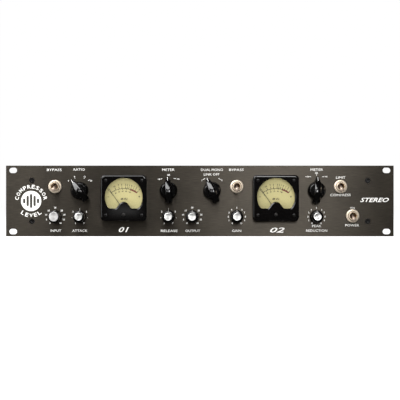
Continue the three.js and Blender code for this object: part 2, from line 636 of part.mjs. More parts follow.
function addMeter(side, x) {
  const z = MID + ROW.meters;
  add(`${side}_meter_cover`, meterCover(x, z), BLACK_PLASTIC);
  add(`${side}_meter_case`, meterCase(x, z), BLACK_PLASTIC);
  add(`${side}_meter_dial`, meterDial(x, z), DIAL_CREAM);
  add(`${side}_meter_window`, meterWindow(x, z), GLASS);
  const needle = add(`${side}_meter_needle`, meterNeedle(), BLACK_STEEL);
  needle.position.set(x, 0, z + NEEDLE.pivotZ);
  needle.rotation.y = THREE.MathUtils.degToRad(NEEDLE.rest);
  add(`${side}_meter_zero_screw`, zeroScrew(), BLACK_STEEL).position.set(x, 0, z + ZERO.z);
}

function addRearConnectors() {
  for (const item of JACKS) {
    add(item.name, jack(item), BLACK_STEEL);
    if (item.socket) add(`${item.name}_latch`, jackLatch(item), BLACK_PLASTIC);
  }
  add("mains_inlet", mainsInlet(), BLACK_PLASTIC);
}

function addInside() {
  add("main_board", mainBoard(), BOARD_GREEN);
  add("power_transformer", powerTransformer(), WINDING);
  add("transformer_clamp", transformerClamp(), STEEL);
}

addCase();
addRotaryControls();
addControlBoard("left", -197, 1, -METER_X, TOGGLES[0].x);
addControlBoard("right", 3, 158, METER_X, TOGGLES[1].x);
addToggles();
for (const [side, sx] of SIDES) addMeter(side, sx * METER_X);
addRearConnectors();
addInside();

// The origin is the middle of the footprint, on the surface that the panel's lower edge stands on.
const extent = new THREE.Box3().setFromObject(model);
model.position.y = -(extent.min.y + extent.max.y) / 2;

export default model;
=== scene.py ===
"""The looks of a two-channel studio compressor in a two-unit, 19 inch rack case.

Sizes are in millimetres about a point that comes from the frame, and MM turns them into metres.
x runs to the right seen from the front, y to the rear and z up, as in the frame.
"""
import json
import math

import bmesh
import bpy
from mathutils import Matrix, Vector


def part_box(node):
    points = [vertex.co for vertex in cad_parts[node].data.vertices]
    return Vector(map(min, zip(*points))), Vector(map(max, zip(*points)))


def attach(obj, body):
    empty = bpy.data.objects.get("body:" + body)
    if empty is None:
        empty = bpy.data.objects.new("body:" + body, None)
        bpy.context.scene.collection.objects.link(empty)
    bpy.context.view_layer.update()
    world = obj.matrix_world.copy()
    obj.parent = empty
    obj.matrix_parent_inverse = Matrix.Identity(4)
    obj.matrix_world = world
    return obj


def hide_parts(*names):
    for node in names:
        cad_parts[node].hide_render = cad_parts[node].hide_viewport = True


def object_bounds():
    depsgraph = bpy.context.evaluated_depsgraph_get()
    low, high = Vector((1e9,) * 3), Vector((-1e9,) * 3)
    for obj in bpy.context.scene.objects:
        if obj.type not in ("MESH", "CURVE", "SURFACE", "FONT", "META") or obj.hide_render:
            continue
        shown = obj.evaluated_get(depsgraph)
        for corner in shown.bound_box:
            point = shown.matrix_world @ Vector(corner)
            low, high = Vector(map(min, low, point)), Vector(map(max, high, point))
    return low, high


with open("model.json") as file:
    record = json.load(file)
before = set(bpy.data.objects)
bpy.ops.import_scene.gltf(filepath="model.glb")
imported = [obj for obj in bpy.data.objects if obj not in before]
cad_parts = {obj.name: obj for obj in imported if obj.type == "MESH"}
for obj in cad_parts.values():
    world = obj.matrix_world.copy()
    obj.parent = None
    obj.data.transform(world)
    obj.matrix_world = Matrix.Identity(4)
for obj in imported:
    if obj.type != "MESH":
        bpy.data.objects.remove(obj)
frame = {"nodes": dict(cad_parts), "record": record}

CAD_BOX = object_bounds()
MM = 0.001
SIDES = (("left", -1), ("right", 1))
LEVELS = (("upper", 1), ("lower", -1))
NODES = frame["nodes"]

# ---------- Places, from the frame ----------

PANEL_LOW, PANEL_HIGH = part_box("front_panel")
FACE_Y = PANEL_LOW.y
REAR_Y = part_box("rear_panel")[1].y
MID_Z = (PANEL_LOW.z + PANEL_HIGH.z) / 2
PANEL_WIDTH = (PANEL_HIGH.x - PANEL_LOW.x) / MM
PANEL_HEIGHT = (PANEL_HIGH.z - PANEL_LOW.z) / MM
FACE_CENTRE = Vector((0, FACE_Y, MID_Z))
FACE_FOOT = Vector((0, FACE_Y, PANEL_LOW.z))
REAR_CENTRE = Vector((0, REAR_Y, MID_Z))


def middle(node):
    """The middle of a CAD node's box."""
    low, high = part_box(node)
    return (low + high) / 2


def size_of(node):
    """A CAD node's size along x, y and z, in millimetres."""
    low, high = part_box(node)
    return (high - low) / MM


def extent(node, origin):
    """A CAD node's lowest and highest corner, in millimetres from a point."""
    return [[(a - b) / MM for a, b in zip(corner, origin)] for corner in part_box(node)]


def on_face(node):
    """The point of the panel's front face that lies straight ahead of a node's middle."""
    centre = middle(node)
    return Vector((centre.x, FACE_Y, centre.z))


def on_rear(node):
    """The point of the rear panel's outer face that lies straight behind a node's middle."""
    centre = middle(node)
    return Vector((centre.x, REAR_Y, centre.z))


def panel_place(node):
    """A node's x and z in millimetres, from the middle of the panel's face."""
    centre = middle(node)
    return centre.x / MM, (centre.z - MID_Z) / MM


def tip_angle(node, axis):
    """How far clockwise of upright a CAD node points at rest, with the vertex furthest from its axis."""
    tip = max(NODES[node].data.vertices, key=lambda v: math.hypot(v.co.x - axis.x, v.co.z - axis.z))
    return math.atan2(tip.co.x - axis.x, tip.co.z - axis.z)


# ---------- Outlines: closed lists of (x, z) ----------


def arc(x, z, radius, start, end, steps):
    angles = [math.radians(start + (end - start) * i / steps) for i in range(steps + 1)]
    return [(x + radius * math.cos(a), z + radius * math.sin(a)) for a in angles]


def circle(x, z, radius, steps=48):
    return arc(x, z, radius, 0, 360, steps)[:-1]


def rounded_box(x, z, width, height, radius, steps=6):
    right, top = width / 2 - radius, height / 2 - radius
    corners = ((right, top, 0), (-right, top, 90), (-right, -top, 180), (right, -top, 270))
    return [p for dx, dz, start in corners for p in arc(x + dx, z + dz, radius, start, start + 90, steps)]


def slot(x, z, width, height, steps=10):
    reach = (width - height) / 2
    return arc(x + reach, z, height / 2, -90, 90, steps) + arc(x - reach, z, height / 2, 90, 270, steps)


def upright_slot(x, z, width, height):
    return [(x + pz, z - px) for px, pz in slot(0, 0, height, width, 6)]


def rectangle(x0, x1, z0, z1):
    return [(x0, z0), (x1, z0), (x1, z1), (x0, z1)]


def grown(outline, distance):
    """An anticlockwise outline, each point moved outwards by about distance."""
    count = len(outline)
    result = []
    for i, (x, z) in enumerate(outline):
        (x0, z0), (x1, z1) = outline[i - 1], outline[(i + 1) % count]
        tangent = Vector((x1 - x0, z1 - z0)).normalized()
        result.append((x + tangent.y * distance, z - tangent.x * distance))
    return result


# ---------- Meshes ----------

SHARP = 32  # degrees between two faces, from which the edge between them is a sharp one
WELD = 2e-6  # metres, under which two vertices become one
STRAIGHT = 0.9999  # of a normal's y, from which its face counts as facing the front or the rear
LARGE_FACE = 120 * MM * MM  # square metres, from which a face is never shaded as if it were bent
UPRIGHT = Matrix.Rotation(math.pi / 2, 4, "X")


def tidy(mesh, sharp=SHARP):
    """Welds a mesh, turns its faces outwards and shades it smooth between its sharp edges.

    Large faces and those that look straight to the front or the rear keep their own normals, so that no bevel
    bends their shading.
    """
    bm = bmesh.new()
    bm.from_mesh(mesh)
    bmesh.ops.remove_doubles(bm, verts=bm.verts, dist=WELD)
    bmesh.ops.dissolve_degenerate(bm, edges=bm.edges, dist=WELD)
    bmesh.ops.recalc_face_normals(bm, faces=bm.faces)
    bm.to_mesh(mesh)
    bm.free()
    stale = mesh.attributes.get("custom_normal")
    if stale:
        mesh.attributes.remove(stale)
    mesh.shade_smooth()
    mesh.set_sharp_from_angle(angle=math.radians(sharp))
    normals = [Vector(corner.vector) for corner in mesh.corner_normals]
    for face in mesh.polygons:
        if abs(face.normal.y) > STRAIGHT or face.area > LARGE_FACE:
            for corner in face.loop_indices:
                normals[corner] = Vector(face.normal)
    mesh.normals_split_custom_set(normals)
    return mesh


def mesh_of(points, faces, sharp=SHARP):
    mesh = bpy.data.meshes.new("shape")
    mesh.from_pydata([Vector(p) * MM for p in points], [], faces)
    return tidy(mesh, sharp)


def placed(mesh, x=0, y=0, z=0, turn=None):
    """A mesh, turned and then moved, in millimetres."""
    if turn is not None:
        mesh.transform(turn)
    mesh.transform(Matrix.Translation(Vector((x, y, z)) * MM))
    return mesh


def merged(meshes):
    """Several meshes as one."""
    bm = bmesh.new()
    for mesh in meshes:
        bm.from_mesh(mesh)
    result = bpy.data.meshes.new("shape")
    bm.to_mesh(result)
    bm.free()
    return result


def turned(profile, steps=64):
    """A mesh turned about the y axis. The profile is a list of (radius, y)."""
    points, rings = [], []
    for radius, y in profile:
        if radius < 1e-6:
            rings.append([len(points)] * steps)
            points.append((0, y, 0))
            continue
        rings.append([len(points) + i for i in range(steps)])
        for i in range(steps):
            angle = 2 * math.pi * i / steps
            points.append((radius * math.sin(angle), y, radius * math.cos(angle)))
    faces = []
    for a, b in zip(rings, rings[1:]):
        for i in range(steps):
            j = (i + 1) % steps
            corners = list(dict.fromkeys((a[i], a[j], b[j], b[i])))
            if len(corners) > 2:
                faces.append(corners)
    return mesh_of(points, faces)


def rod(radius, y0, y1, bevel=0.15, steps=40):
    return turned([(0, y0), (radius - bevel, y0), (radius, y0 + bevel), (radius, y1 - bevel),
                   (radius - bevel, y1), (0, y1)], steps)


def tube(outer, inner, y0, y1, steps=64):
    return turned([(inner, y0), (outer, y0), (outer, y1), (inner, y1), (inner, y0)], steps)


def drill(radius, y0, y1, steps=24):
    """A plain cylinder, for cutting with."""
    return turned([(0, y0), (radius, y0), (radius, y1), (0, y1)], steps)


def loft(loops, sharp=SHARP):
    """A closed mesh through loops of equally many points, each loop a list of (x, y, z)."""
    count = len(loops[0])
    points = [p for loop in loops for p in loop]
    faces = [list(range(count)), list(range(len(points) - count, len(points)))]
    for start in range(0, len(points) - count, count):
        for i in range(count):
            j = (i + 1) % count
            faces.append((start + i, start + j, start + count + j, start + count + i))
    return mesh_of(points, faces, sharp)


def at_depth(outline, y):
    return [(x, y, z) for x, z in outline]


def new_object(name, data):
    obj = bpy.data.objects.new(name, data)
    bpy.context.scene.collection.objects.link(obj)
    return obj


def evaluated(obj):
    """An object's final mesh, as a mesh of its own. The object is removed."""
    bpy.context.view_layer.update()
    graph = bpy.context.evaluated_depsgraph_get()
    mesh = bpy.data.meshes.new_from_object(obj.evaluated_get(graph))
    bpy.data.objects.remove(obj)
    return mesh


def from_curve(curve, y):
    """A flat curve's mesh, stood upright to face the front, with its middle at the depth y."""
    return placed(evaluated(new_object("curve", curve)), y=y, turn=UPRIGHT)


def even_out(mesh):
    """Turns the thin triangles of a plate's two large faces into well-shaped ones."""
    bm = bmesh.new()
    bm.from_mesh(mesh)
    bmesh.ops.remove_doubles(bm, verts=bm.verts, dist=WELD)
    for side in (-1, 1):
        faces = [f for f in bm.faces if f.normal.y * side > 0.99 and len(f.verts) == 3]
        inner = [e for e in {e for f in faces for e in f.edges} if all(f in faces for f in e.link_faces)]
        bmesh.ops.beautify_fill(bm, faces=faces, edges=inner, method="ANGLE")
    bm.to_mesh(mesh)
    bm.free()


def plate(outline, holes, y0, y1, bevel=0.2, segments=1):
    """A flat plate between the depths y0 and y1, with bevelled edges at its outline and its holes."""
    curve = bpy.data.curves.new("plate", "CURVE")
    curve.dimensions = "2D"
    curve.fill_mode = "BOTH"
    for loop in [outline, *holes]:
        spline = curve.splines.new("POLY")
        spline.points.add(len(loop) - 1)
        for point, (x, z) in zip(spline.points, loop):
            point.co = (x * MM, z * MM, 0, 1)
        spline.use_cyclic_u = True
    curve.extrude = ((y1 - y0) / 2 - bevel) * MM
    curve.bevel_depth = bevel * MM
    curve.bevel_resolution = segments
    curve.offset = -bevel * MM
    mesh = from_curve(curve, (y0 + y1) / 2)
    even_out(mesh)
    return tidy(mesh)


def prism(outline, y0, y1):
    """A plain prism, for cutting with."""
    return loft([at_depth(outline, y0), at_depth(outline, y1)])


def block(x0, x1, y0, y1, z0, z1, bevel=0.2):
    """A box with bevelled edges."""
    outline = rectangle(x0, x1, z0, z1)
    inset = rectangle(x0 + bevel, x1 - bevel, z0 + bevel, z1 - bevel)
    return loft([at_depth(inset, y0), at_depth(outline, y0 + bevel), at_depth(outline, y1 - bevel),
                 at_depth(inset, y1)], sharp=60)


def combined(operation, body, *tools):
    """A mesh joined to others, or cut by them."""
    for tool in tools:
        target, other = (new_object("boolean", mesh) for mesh in (body, tool))
        modifier = target.modifiers.new("boolean", "BOOLEAN")
        modifier.operation = operation
        modifier.object = other
        modifier.solver = "EXACT"
        body = evaluated(target)
        bpy.data.objects.remove(other)
    return tidy(body)


def cut(body, *tools):
    return combined("DIFFERENCE", body, *tools)


def joined(body, *tools):
    return combined("UNION", body, *tools)


# ---------- Pieces ----------


def add(name, mesh, at, material, body="case", stands_for=(), turn=None):
    """Makes a piece of a mesh. at is the point of the frame that the mesh was made about."""
    if not mesh.materials:
        mesh.materials.append(material)
    obj = new_object(name, mesh)
    obj.location = at
    if turn is not None:
        obj.rotation_euler = turn
    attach(obj, body)
    if stands_for:
        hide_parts(*stands_for)


def add_screws(name, mesh, place, spots, y=0.0, turn=None):
    """Black screws at several (x, z) about a place, at a depth y from it."""
    for i, (x, z) in enumerate(spots):
        add(f"{name}_{i + 1}", mesh, place + Vector((x, y, z)) * MM, BLACK_OXIDE, turn=turn)


def body_of(node):
    """The name of the body that a CAD node belongs to."""
    return next(name for name, members in frame["record"]["behaviour"]["bodies"].items() if node in members)


def dress(node, material):
    """Gives a CAD node that stays its material."""
    materials = NODES[node].data.materials
    materials.clear()
    materials.append(material)


# ---------- Materials ----------

SMUDGES = 35.0  # repeats per metre of the faint, large patches of a surface
COAT_ROUGHNESS = 0.06
LATHE_RINGS = 2200.0


def new_material(name):
    """A material, and its Principled shader."""
    material = bpy.data.materials.new(name)
    material.use_nodes = True
    return material, material.node_tree.nodes["Principled BSDF"]


def set_inputs(node, **values):
    """Sets a node's inputs. In their names, _ stands for a space."""
    for name, value in values.items():
        node.inputs[name.replace("_", " ")].default_value = value


def add_node(material, kind, **values):
    node = material.node_tree.nodes.new(f"ShaderNode{kind}")
    set_inputs(node, **values)
    return node


def link(material, *wires):
    """Joins nodes. Each wire is a node, its output, another node and that one's input."""
    for source, output, target, socket in wires:
        material.node_tree.links.new(source.outputs[output], target.inputs[socket])


def brush(material, shader, amount, lay):
    """Spreads highlights across fine grooves, which lie straight along x or turned about the y axis."""
    set_inputs(shader, Anisotropic=amount)
    if lay == "turned":
        tangent = add_node(material, "Tangent")
        tangent.direction_type = "RADIAL"
        tangent.axis = "Y"
        link(material, (tangent, "Tangent", shader, "Tangent"))
    else:
        link(material, (add_node(material, "CombineXYZ", Z=1.0), "Vector", shader, "Tangent"))


def spread(material, noise, low, high):
    """A node that stretches the middle half of a noise over the range from low to high."""
    node = add_node(material, "MapRange", From_Min=0.25, From_Max=0.75, To_Min=low, To_Max=high)
    link(material, (noise, "Fac", node, "Value"))
    return node


def finish(name, colour, roughness, grain, vary, relief, metallic=0.0, stretch=(1, 1, 1), rough_vary=0.06,
           coat=0.0, detail=3.0, specular=0.5, brushed=0.0, lay="straight"):
    """A surface with a fine grain that shifts its colour and height, over larger, fainter smudges.

    The smudges also shift its roughness. grain is in repeats per metre, stretch shortens or lengthens it
    along each axis, vary is a share of the colour, and relief is in millimetres.
    """
    material, shader = new_material(name)
    set_inputs(shader, Metallic=metallic, Specular_IOR_Level=specular)
    if coat:
        set_inputs(shader, Coat_Weight=coat, Coat_Roughness=COAT_ROUGHNESS)
    if brushed:
        brush(material, shader, brushed, lay)
    place = add_node(material, "TexCoord")
    mapping = add_node(material, "Mapping", Scale=stretch)
    fine = add_node(material, "TexNoise", Scale=grain, Detail=detail)
    smudge = add_node(material, "TexNoise", Scale=SMUDGES, Detail=4.0)
    blend = add_node(material, "Math")
    blend.operation = "MULTIPLY"
    tint = add_node(material, "VectorMath")
    tint.operation = "SCALE"
    tint.inputs[0].default_value = colour
    bump = add_node(material, "Bump", Strength=1.0, Distance=relief * MM)
    link(material, (place, "Object", mapping, "Vector"), (mapping, "Vector", fine, "Vector"),
         (place, "Object", smudge, "Vector"))
    rough = spread(material, smudge, roughness - rough_vary, roughness + rough_vary)
    link(material, (spread(material, fine, 1 - vary, 1 + vary), "Result", blend, 0),
         (spread(material, smudge, 1 - vary / 2, 1 + vary / 2), "Result", blend, 1),
         (blend, "Value", tint, "Scale"), (tint, "Vector", shader, "Base Color"),
         (rough, "Result", shader, "Roughness"),
         (fine, "Fac", bump, "Height"), (bump, "Normal", shader, "Normal"))
    return material


def spun_metal(name, colour, roughness):
    """Metal turned on a lathe, with fine rings about the y axis of its piece."""
    material = finish(name, colour, roughness, 900, 0.04, 0.001, metallic=1.0, brushed=0.7, lay="turned")
    by_type = {node.type: node for node in material.node_tree.nodes}
    place, bump = by_type["TEX_COORD"], by_type["BUMP"]
    flat = add_node(material, "Mapping", Scale=(1, 0, 1))
    wave = add_node(material, "TexWave", Scale=LATHE_RINGS, Distortion=0.6)
    wave.wave_type = "RINGS"
    wave.rings_direction = "SPHERICAL"
    set_inputs(bump, Distance=0.006 * MM)
    link(material, (place, "Object", flat, "Vector"), (flat, "Vector", wave, "Vector"),
         (wave, "Fac", bump, "Height"))
    return material


def clear_glass(name):
    """A thin, clear pane: it shows what is behind it and reflects a little, more at a slant."""
    material, shader = new_material(name)
    material.node_tree.nodes.remove(shader)
    through = add_node(material, "BsdfTransparent")
    gloss = add_node(material, "BsdfGlossy", Roughness=0.03)
    slant = add_node(material, "LayerWeight", Blend=0.5)
    mirrored = add_node(material, "MapRange", From_Min=0.2, To_Min=0.02, To_Max=0.6)
    mirrored.interpolation_type = "SMOOTHERSTEP"
    mix = add_node(material, "MixShader")
    output = material.node_tree.nodes["Material Output"]
    link(material, (slant, "Facing", mirrored, "Value"), (mirrored, "Result", mix, "Fac"),
         (through, "BSDF", mix, 1), (gloss, "BSDF", mix, 2), (mix, "Shader", output, "Surface"))
    return material


# Each finish: its name, its colour, its roughness, its grain, how much it varies and its relief.
BRUSHED_PANEL = finish("brushed_panel", (0.034, 0.0285, 0.0215), 0.32, 2600, 0.36, 0.003, metallic=0.75,
                       stretch=(0.035, 1, 1), rough_vary=0.012, detail=4.0, brushed=0.95)
POWDER_COAT = finish("powder_coat", (0.018, 0.018, 0.018), 0.5, 1500, 0.2, 0.05)
BLACK_GLOSS = finish("black_gloss_moulding", (0.0012, 0.001, 0.001), 0.06, 500, 0.12, 0.0008, rough_vary=0.02)
KNOB_BLACK = finish("knob_black", (0.0012, 0.001, 0.001), 0.1, 600, 0.12, 0.001, rough_vary=0.03)
BAR_BLACK = finish("bar_knob_black", (0.0008, 0.0007, 0.0007), 0.09, 600, 0.12, 0.001, rough_vary=0.03)
SATIN_BLACK = finish("satin_black_moulding", (0.014, 0.014, 0.014), 0.42, 1400, 0.12, 0.015)
BLACK_OXIDE = finish("black_oxide", (0.0035, 0.0032, 0.003), 0.28, 1500, 0.12, 0.006, specular=0.22)
NICKEL = finish("warm_nickel", (0.74, 0.635, 0.505), 0.46, 800, 0.05, 0.003, metallic=0.7)
# The lever's nickel is made darker and browner than the nut's: painted shade and a painted brown reflection
# on the lever.
LEVER_NICKEL_PAINTED_SHADE = finish("lever_nickel_painted_shade", (0.44, 0.35, 0.28), 0.46, 800, 0.05, 0.003, metallic=0.6)
SATIN_NICKEL = finish("satin_nickel", (0.45, 0.44, 0.42), 0.38, 1600, 0.08, 0.01, metallic=1.0)
DARK_CHROME = finish("dark_chrome", (0.022, 0.021, 0.02), 0.36, 1500, 0.1, 0.003, metallic=0.8)
BRIGHT_STEEL = finish("bright_steel", (0.62, 0.62, 0.61), 0.3, 1800, 0.08, 0.006, metallic=1.0)
SPUN_ALUMINIUM = spun_metal("spun_aluminium", (0.78, 0.775, 0.755), 0.32)
SATIN_ALUMINIUM = spun_metal("satin_aluminium", (0.66, 0.65, 0.64), 0.5)
GREY_INK = finish("grey_ink", (0.30, 0.285, 0.26), 0.55, 2500, 0.08, 0.004)
WHITE_INK = finish("white_ink", (0.80, 0.79, 0.76), 0.55, 2500, 0.06, 0.004)
BLACK_INK = finish("black_ink", (0.008, 0.007, 0.005), 0.6, 2500, 0.1, 0.002)
RED_INK = finish("red_ink", (0.15, 0.017, 0.013), 0.6, 2500, 0.1, 0.002)
DIAL_PAINT = finish("dial_paint", (0.49, 0.44, 0.205), 0.7, 1200, 0.06, 0.006)
DARK_MARK = finish("dark_mark", (0.03, 0.026, 0.02), 0.5, 2000, 0.1, 0.003)
DULL_BRASS = finish("dull_brass", (0.36, 0.23, 0.11), 0.5, 900, 0.2, 0.004, metallic=0.3)
GOLD_CONTACT = finish("gold_contact", (0.83, 0.62, 0.28), 0.25, 900, 0.05, 0.002, metallic=1.0)
BOARD_GREEN = finish("board_green", (0.02, 0.12, 0.05), 0.4, 700, 0.2, 0.01, coat=0.3)
AMBER_WINDING = finish("amber_winding", (0.42, 0.24, 0.06), 0.35, 260, 0.3, 0.12, coat=0.4)
GLASS = clear_glass("clear_glass")

# ---------- Lettering and marks ----------

PRINT_FRONT, PRINT_REAR = -0.05, 0.03  # printing is a thin sheet, half sunk in its surface
LETTER_SIZE = 10.0  # of the font, before a word is fitted to its place


def fitted(mesh, width, height):
    """A mesh moved to its own middle and scaled to a height, and to a width too if that isn't 0."""
    xs = [v.co.x for v in mesh.vertices]
    zs = [v.co.z for v in mesh.vertices]
    centre = Vector(((min(xs) + max(xs)) / 2, 0, (min(zs) + max(zs)) / 2))
    mesh.transform(Matrix.Translation(-centre))
    scale_z = height * MM / (max(zs) - min(zs))
    scale_x = width * MM / (max(xs) - min(xs)) if width else scale_z
    mesh.transform(Matrix.Diagonal((scale_x, 1, scale_z, 1)))
    return mesh


def words(text, width, height, slant=0.0, weight=0.0):
    """A word or number as a thin mesh about its own middle, fitted to a width and a height."""
    curve = bpy.data.curves.new("words", "FONT")
    curve.body = text
    curve.size = LETTER_SIZE * MM
    curve.shear = slant
    curve.resolution_u = 2
    curve.offset = weight * MM
    curve.extrude = (PRINT_REAR - PRINT_FRONT) / 2 * MM
    return placed(tidy(fitted(from_curve(curve, 0), width, height)), y=(PRINT_FRONT + PRINT_REAR) / 2)


def mark(outline):
    """A printed shape."""
    return prism(outline, PRINT_FRONT, PRINT_REAR)


def bar(x, z, width, height, angle=0.0):
    """A printed bar about (x, z), turned clockwise by angle degrees."""
    sin, cos = math.sin(math.radians(-angle)), math.cos(math.radians(-angle))
    corners = rectangle(-width / 2, width / 2, -height / 2, height / 2)
    return mark([(x + px * cos - pz * sin, z + px * sin + pz * cos) for px, pz in corners])


def around(x, z, radius, angle):
    """The point at a radius and an angle clockwise of upright."""
    return x + radius * math.sin(math.radians(angle)), z + radius * math.cos(math.radians(angle))


def sector(x, z, inner, outer, start, end, steps=24):
    """A printed band between two radii, from one angle clockwise of upright to another."""
    angles = [start + (end - start) * i / steps for i in range(steps + 1)]
    outline = [around(x, z, outer, a) for a in angles] + [around(x, z, inner, a) for a in reversed(angles)]
    return mark(outline)


# ---------- Camera, light and floor ----------

VIEW_DISTANCE = 1.5  # from the panel's face
FRAME_WIDTH = 0.4979  # what the picture spans at the panel's face
AIM_RIGHT, AIM_ABOVE = 0.0002, 0.0012  # the picture's middle, from the panel's middle
ROOM = 8.0  # the studio's radius
WORLD_STRENGTH = 0.045

# Each light: its place and its target in the frame, its width, its height and its power. The low card is a
# small, weak one, for the soft light on the foot of the left meter's cover.
LIGHTS = {
    "overhead": ((-0.62, FACE_Y - 0.62, 1.25), (-0.1, FACE_Y, MID_Z), 2.0, 0.6, 34),
    "front_right": ((0.24, FACE_Y - 1.9, 0.6), (0.1, FACE_Y, MID_Z), 0.39, 0.7, 12),
    "front_left": ((-0.55, FACE_Y - 1.9, 0.6), (-0.2, FACE_Y, MID_Z), 0.3, 0.7, 4),
    "left": ((-1.4, FACE_Y - 0.8, 0.1), (0, FACE_Y, MID_Z), 0.3, 0.6, 3),
    "upper_left": ((-1.1, FACE_Y - 0.62, 0.72), (-0.1, FACE_Y, MID_Z), 0.6, 0.6, 9),
    "low_card": ((-0.19, FACE_Y - 1.55, 0.02), (-0.094, FACE_Y, 0.03), 0.07, 0.02, 0.003),
    "behind": ((0.2, 1.2, 0.9), (0, 0, 0.05), 1.2, 0.8, 8),
}


def make_camera():
    data = bpy.data.cameras.new("camera")
    data.sensor_width = 36.0
    data.lens = data.sensor_width * VIEW_DISTANCE / FRAME_WIDTH
    camera = new_object("camera", data)
    camera.location = (AIM_RIGHT, FACE_Y - VIEW_DISTANCE, MID_Z + AIM_ABOVE)
    camera.rotation_euler = (math.pi / 2, 0, 0)
    bpy.context.scene.camera = camera


def area_light(name, place, target, width, height, power):
    data = bpy.data.lights.new(name, "AREA")
    data.shape = "RECTANGLE"
    data.size = width
    data.size_y = height
    data.energy = power
    light = new_object(name, data)
    light.location = place
    light.rotation_euler = (Vector(target) - Vector(place)).to_track_quat("-Z", "Y").to_euler()


def make_light():
    world = bpy.data.worlds.new("studio")
    world.use_nodes = True
    set_inputs(world.node_tree.nodes["Background"], Color=(1.0, 0.99, 0.97, 1), Strength=WORLD_STRENGTH)
    bpy.context.scene.world = world
    for name, values in LIGHTS.items():
        area_light(name, *values)


def stage_piece(name, albedo, emission, z, shape, **sizes):
    """A white part of the studio, which shines a little. Mirrors don't show it, so that black stays black."""
    bm = bmesh.new()
    shape(bm, **sizes)
    mesh = bpy.data.meshes.new(name)
    bm.to_mesh(mesh)
    bm.free()
    mesh.transform(Matrix.Translation((0, 0, z)))
    mesh.shade_smooth()
    material = finish(f"{name}_white", (albedo, albedo, albedo), 0.8, 900, 0.01, 0.0)
    shader = material.node_tree.nodes["Principled BSDF"]
    set_inputs(shader, Emission_Color=(1, 1, 1, 1), Emission_Strength=emission)
    mesh.materials.append(material)
    obj = new_object(name, mesh)
    obj.visible_glossy = False
    return obj


def make_studio():
    """A round floor inside a dome. The dome is only there for the camera."""
    stage_piece("floor", 0.3, 0.97, CAD_BOX[0].z, bmesh.ops.create_circle, cap_ends=True, segments=64,
                radius=ROOM)
    dome = stage_piece("dome", 0.0, 1.0, 0, bmesh.ops.create_uvsphere, u_segments=64, v_segments=32,
                       radius=ROOM)
    dome.visible_diffuse = dome.visible_shadow = dome.visible_transmission = False


# ---------- Front panel ----------

KNOBS = sorted(n for n in NODES if n.endswith("_knob"))
BAR_KNOBS = [n for n in KNOBS if n in ("ratio_knob", "link_knob") or n.endswith("_meter_select_knob")]
ROUND_KNOBS = [n for n in KNOBS if n not in BAR_KNOBS]
LEVER_NODES = sorted(n for n in NODES if n.endswith("_lever"))
SCREW_NODES = sorted(n for n in NODES if n.endswith("_panel_screw"))
RACK_SLOT = {"x": 232.55, "z": 38.1, "width": 10.0, "height": 6.8}
CONTROL_HOLE, TOGGLE_HOLE, METER_HOLE, SCREW_HOLE = 5.1, 6.2, 22.0, 3.4


def shaft_of(knob):
    return knob.replace("_knob", "_shaft")


def switch_of(lever):
    return lever.replace("_lever", "_switch")


def front_panel():
    holes = [slot(sx * RACK_SLOT["x"], sz * RACK_SLOT["z"], RACK_SLOT["width"], RACK_SLOT["height"])
             for _, sx in SIDES for _, sz in LEVELS]
    holes += [circle(*panel_place(shaft_of(n)), CONTROL_HOLE, 24) for n in KNOBS]
    holes += [circle(*panel_place(switch_of(n)), TOGGLE_HOLE, 24) for n in LEVER_NODES]
    holes += [circle(*panel_place(n), SCREW_HOLE, 40) for n in SCREW_NODES]
    holes += [circle(*panel_place(f"{side}_meter_cover"), METER_HOLE, 48) for side, _ in SIDES]
    outline = rounded_box(0, 0, PANEL_WIDTH, PANEL_HEIGHT, 0.6, 3)
    thick = size_of("front_panel").y
    add("front_panel_plate", plate(outline, holes, 0, thick, bevel=0.15), FACE_CENTRE, BRUSHED_PANEL,
        stands_for=["front_panel"])


WORD_HEIGHT = 2.9
# Each word on the panel in the usual height: its text, its middle from the middle of the panel and its width.
PANEL_WORDS = (
    ("BYPASS", -181.2, 38.8, 18.3), ("RATIO", -150.2, 39.2, 13.9), ("METER", -39.2, 38.9, 15.5),
    ("DUAL MONO", 15.2, 38.8, 27.5), ("LINK OFF", 14.6, 33.1, 19.2), ("BYPASS", 45.5, 38.8, 18.0),
    ("METER", 145.5, 39.0, 15.5), ("LIMIT", 175.3, 29.1, 11.5), ("COMPRESS", 175.0, 7.4, 25.4),
    ("POWER", 189.6, -30.3, 17.1), ("INPUT", -179.2, -37.0, 13.1), ("ATTACK", -149.4, -37.0, 19.0),
    ("RELEASE", -38.2, -37.2, 20.7), ("OUTPUT", -8.8, -37.2, 18.1), ("GAIN", 45.8, -37.1, 11.4),
    ("PEAK", 145.5, -31.1, 11.5), ("REDUCTION", 145.4, -36.9, 26.2),
)
# The others, also with their height, their slant and their weight.
OTHER_WORDS = (
    ("ON", 190.0, -8.8, 5.4, 2.4, 0, 0), ("01", -94.6, -35.7, 12.5, 6.3, 0.3, 0.12),
    ("02", 96.4, -36.2, 18.0, 6.3, 0.3, 0.12), ("STEREO", 217.4, 1.3, 35.5, 5.3, 0.35, 0.12),
)


def both_sides(*marks):
    """Marks round a knob, each an angle clockwise of upright and a distance, with their mirror images."""
    return [(-angle, radius) for angle, radius in marks[::-1] if angle] + list(marks)


NINE_MARKS = both_sides((0, 11.2), (47, 11.0), (78, 11.5), (109, 11.3), (141, 10.4))
FOUR_MARKS = both_sides((54, 10.4), (147, 9.9))
ELEVEN_MARKS = both_sides((0, 10.9), (37, 10.8), (63, 10.8), (90, 10.6), (116, 10.8), (146, 10.0))
# The numbers round each round knob, from the left.
KNOB_NUMBERS = {
    "input_knob": (NINE_MARKS, range(0, 45, 5)), "output_knob": (NINE_MARKS, range(0, 45, 5)),
    "attack_knob": (FOUR_MARKS, range(1, 8, 2)), "release_knob": (FOUR_MARKS, range(1, 8, 2)),
    "gain_knob": (ELEVEN_MARKS, range(11)), "peak_reduction_knob": (ELEVEN_MARKS, range(11)),
}

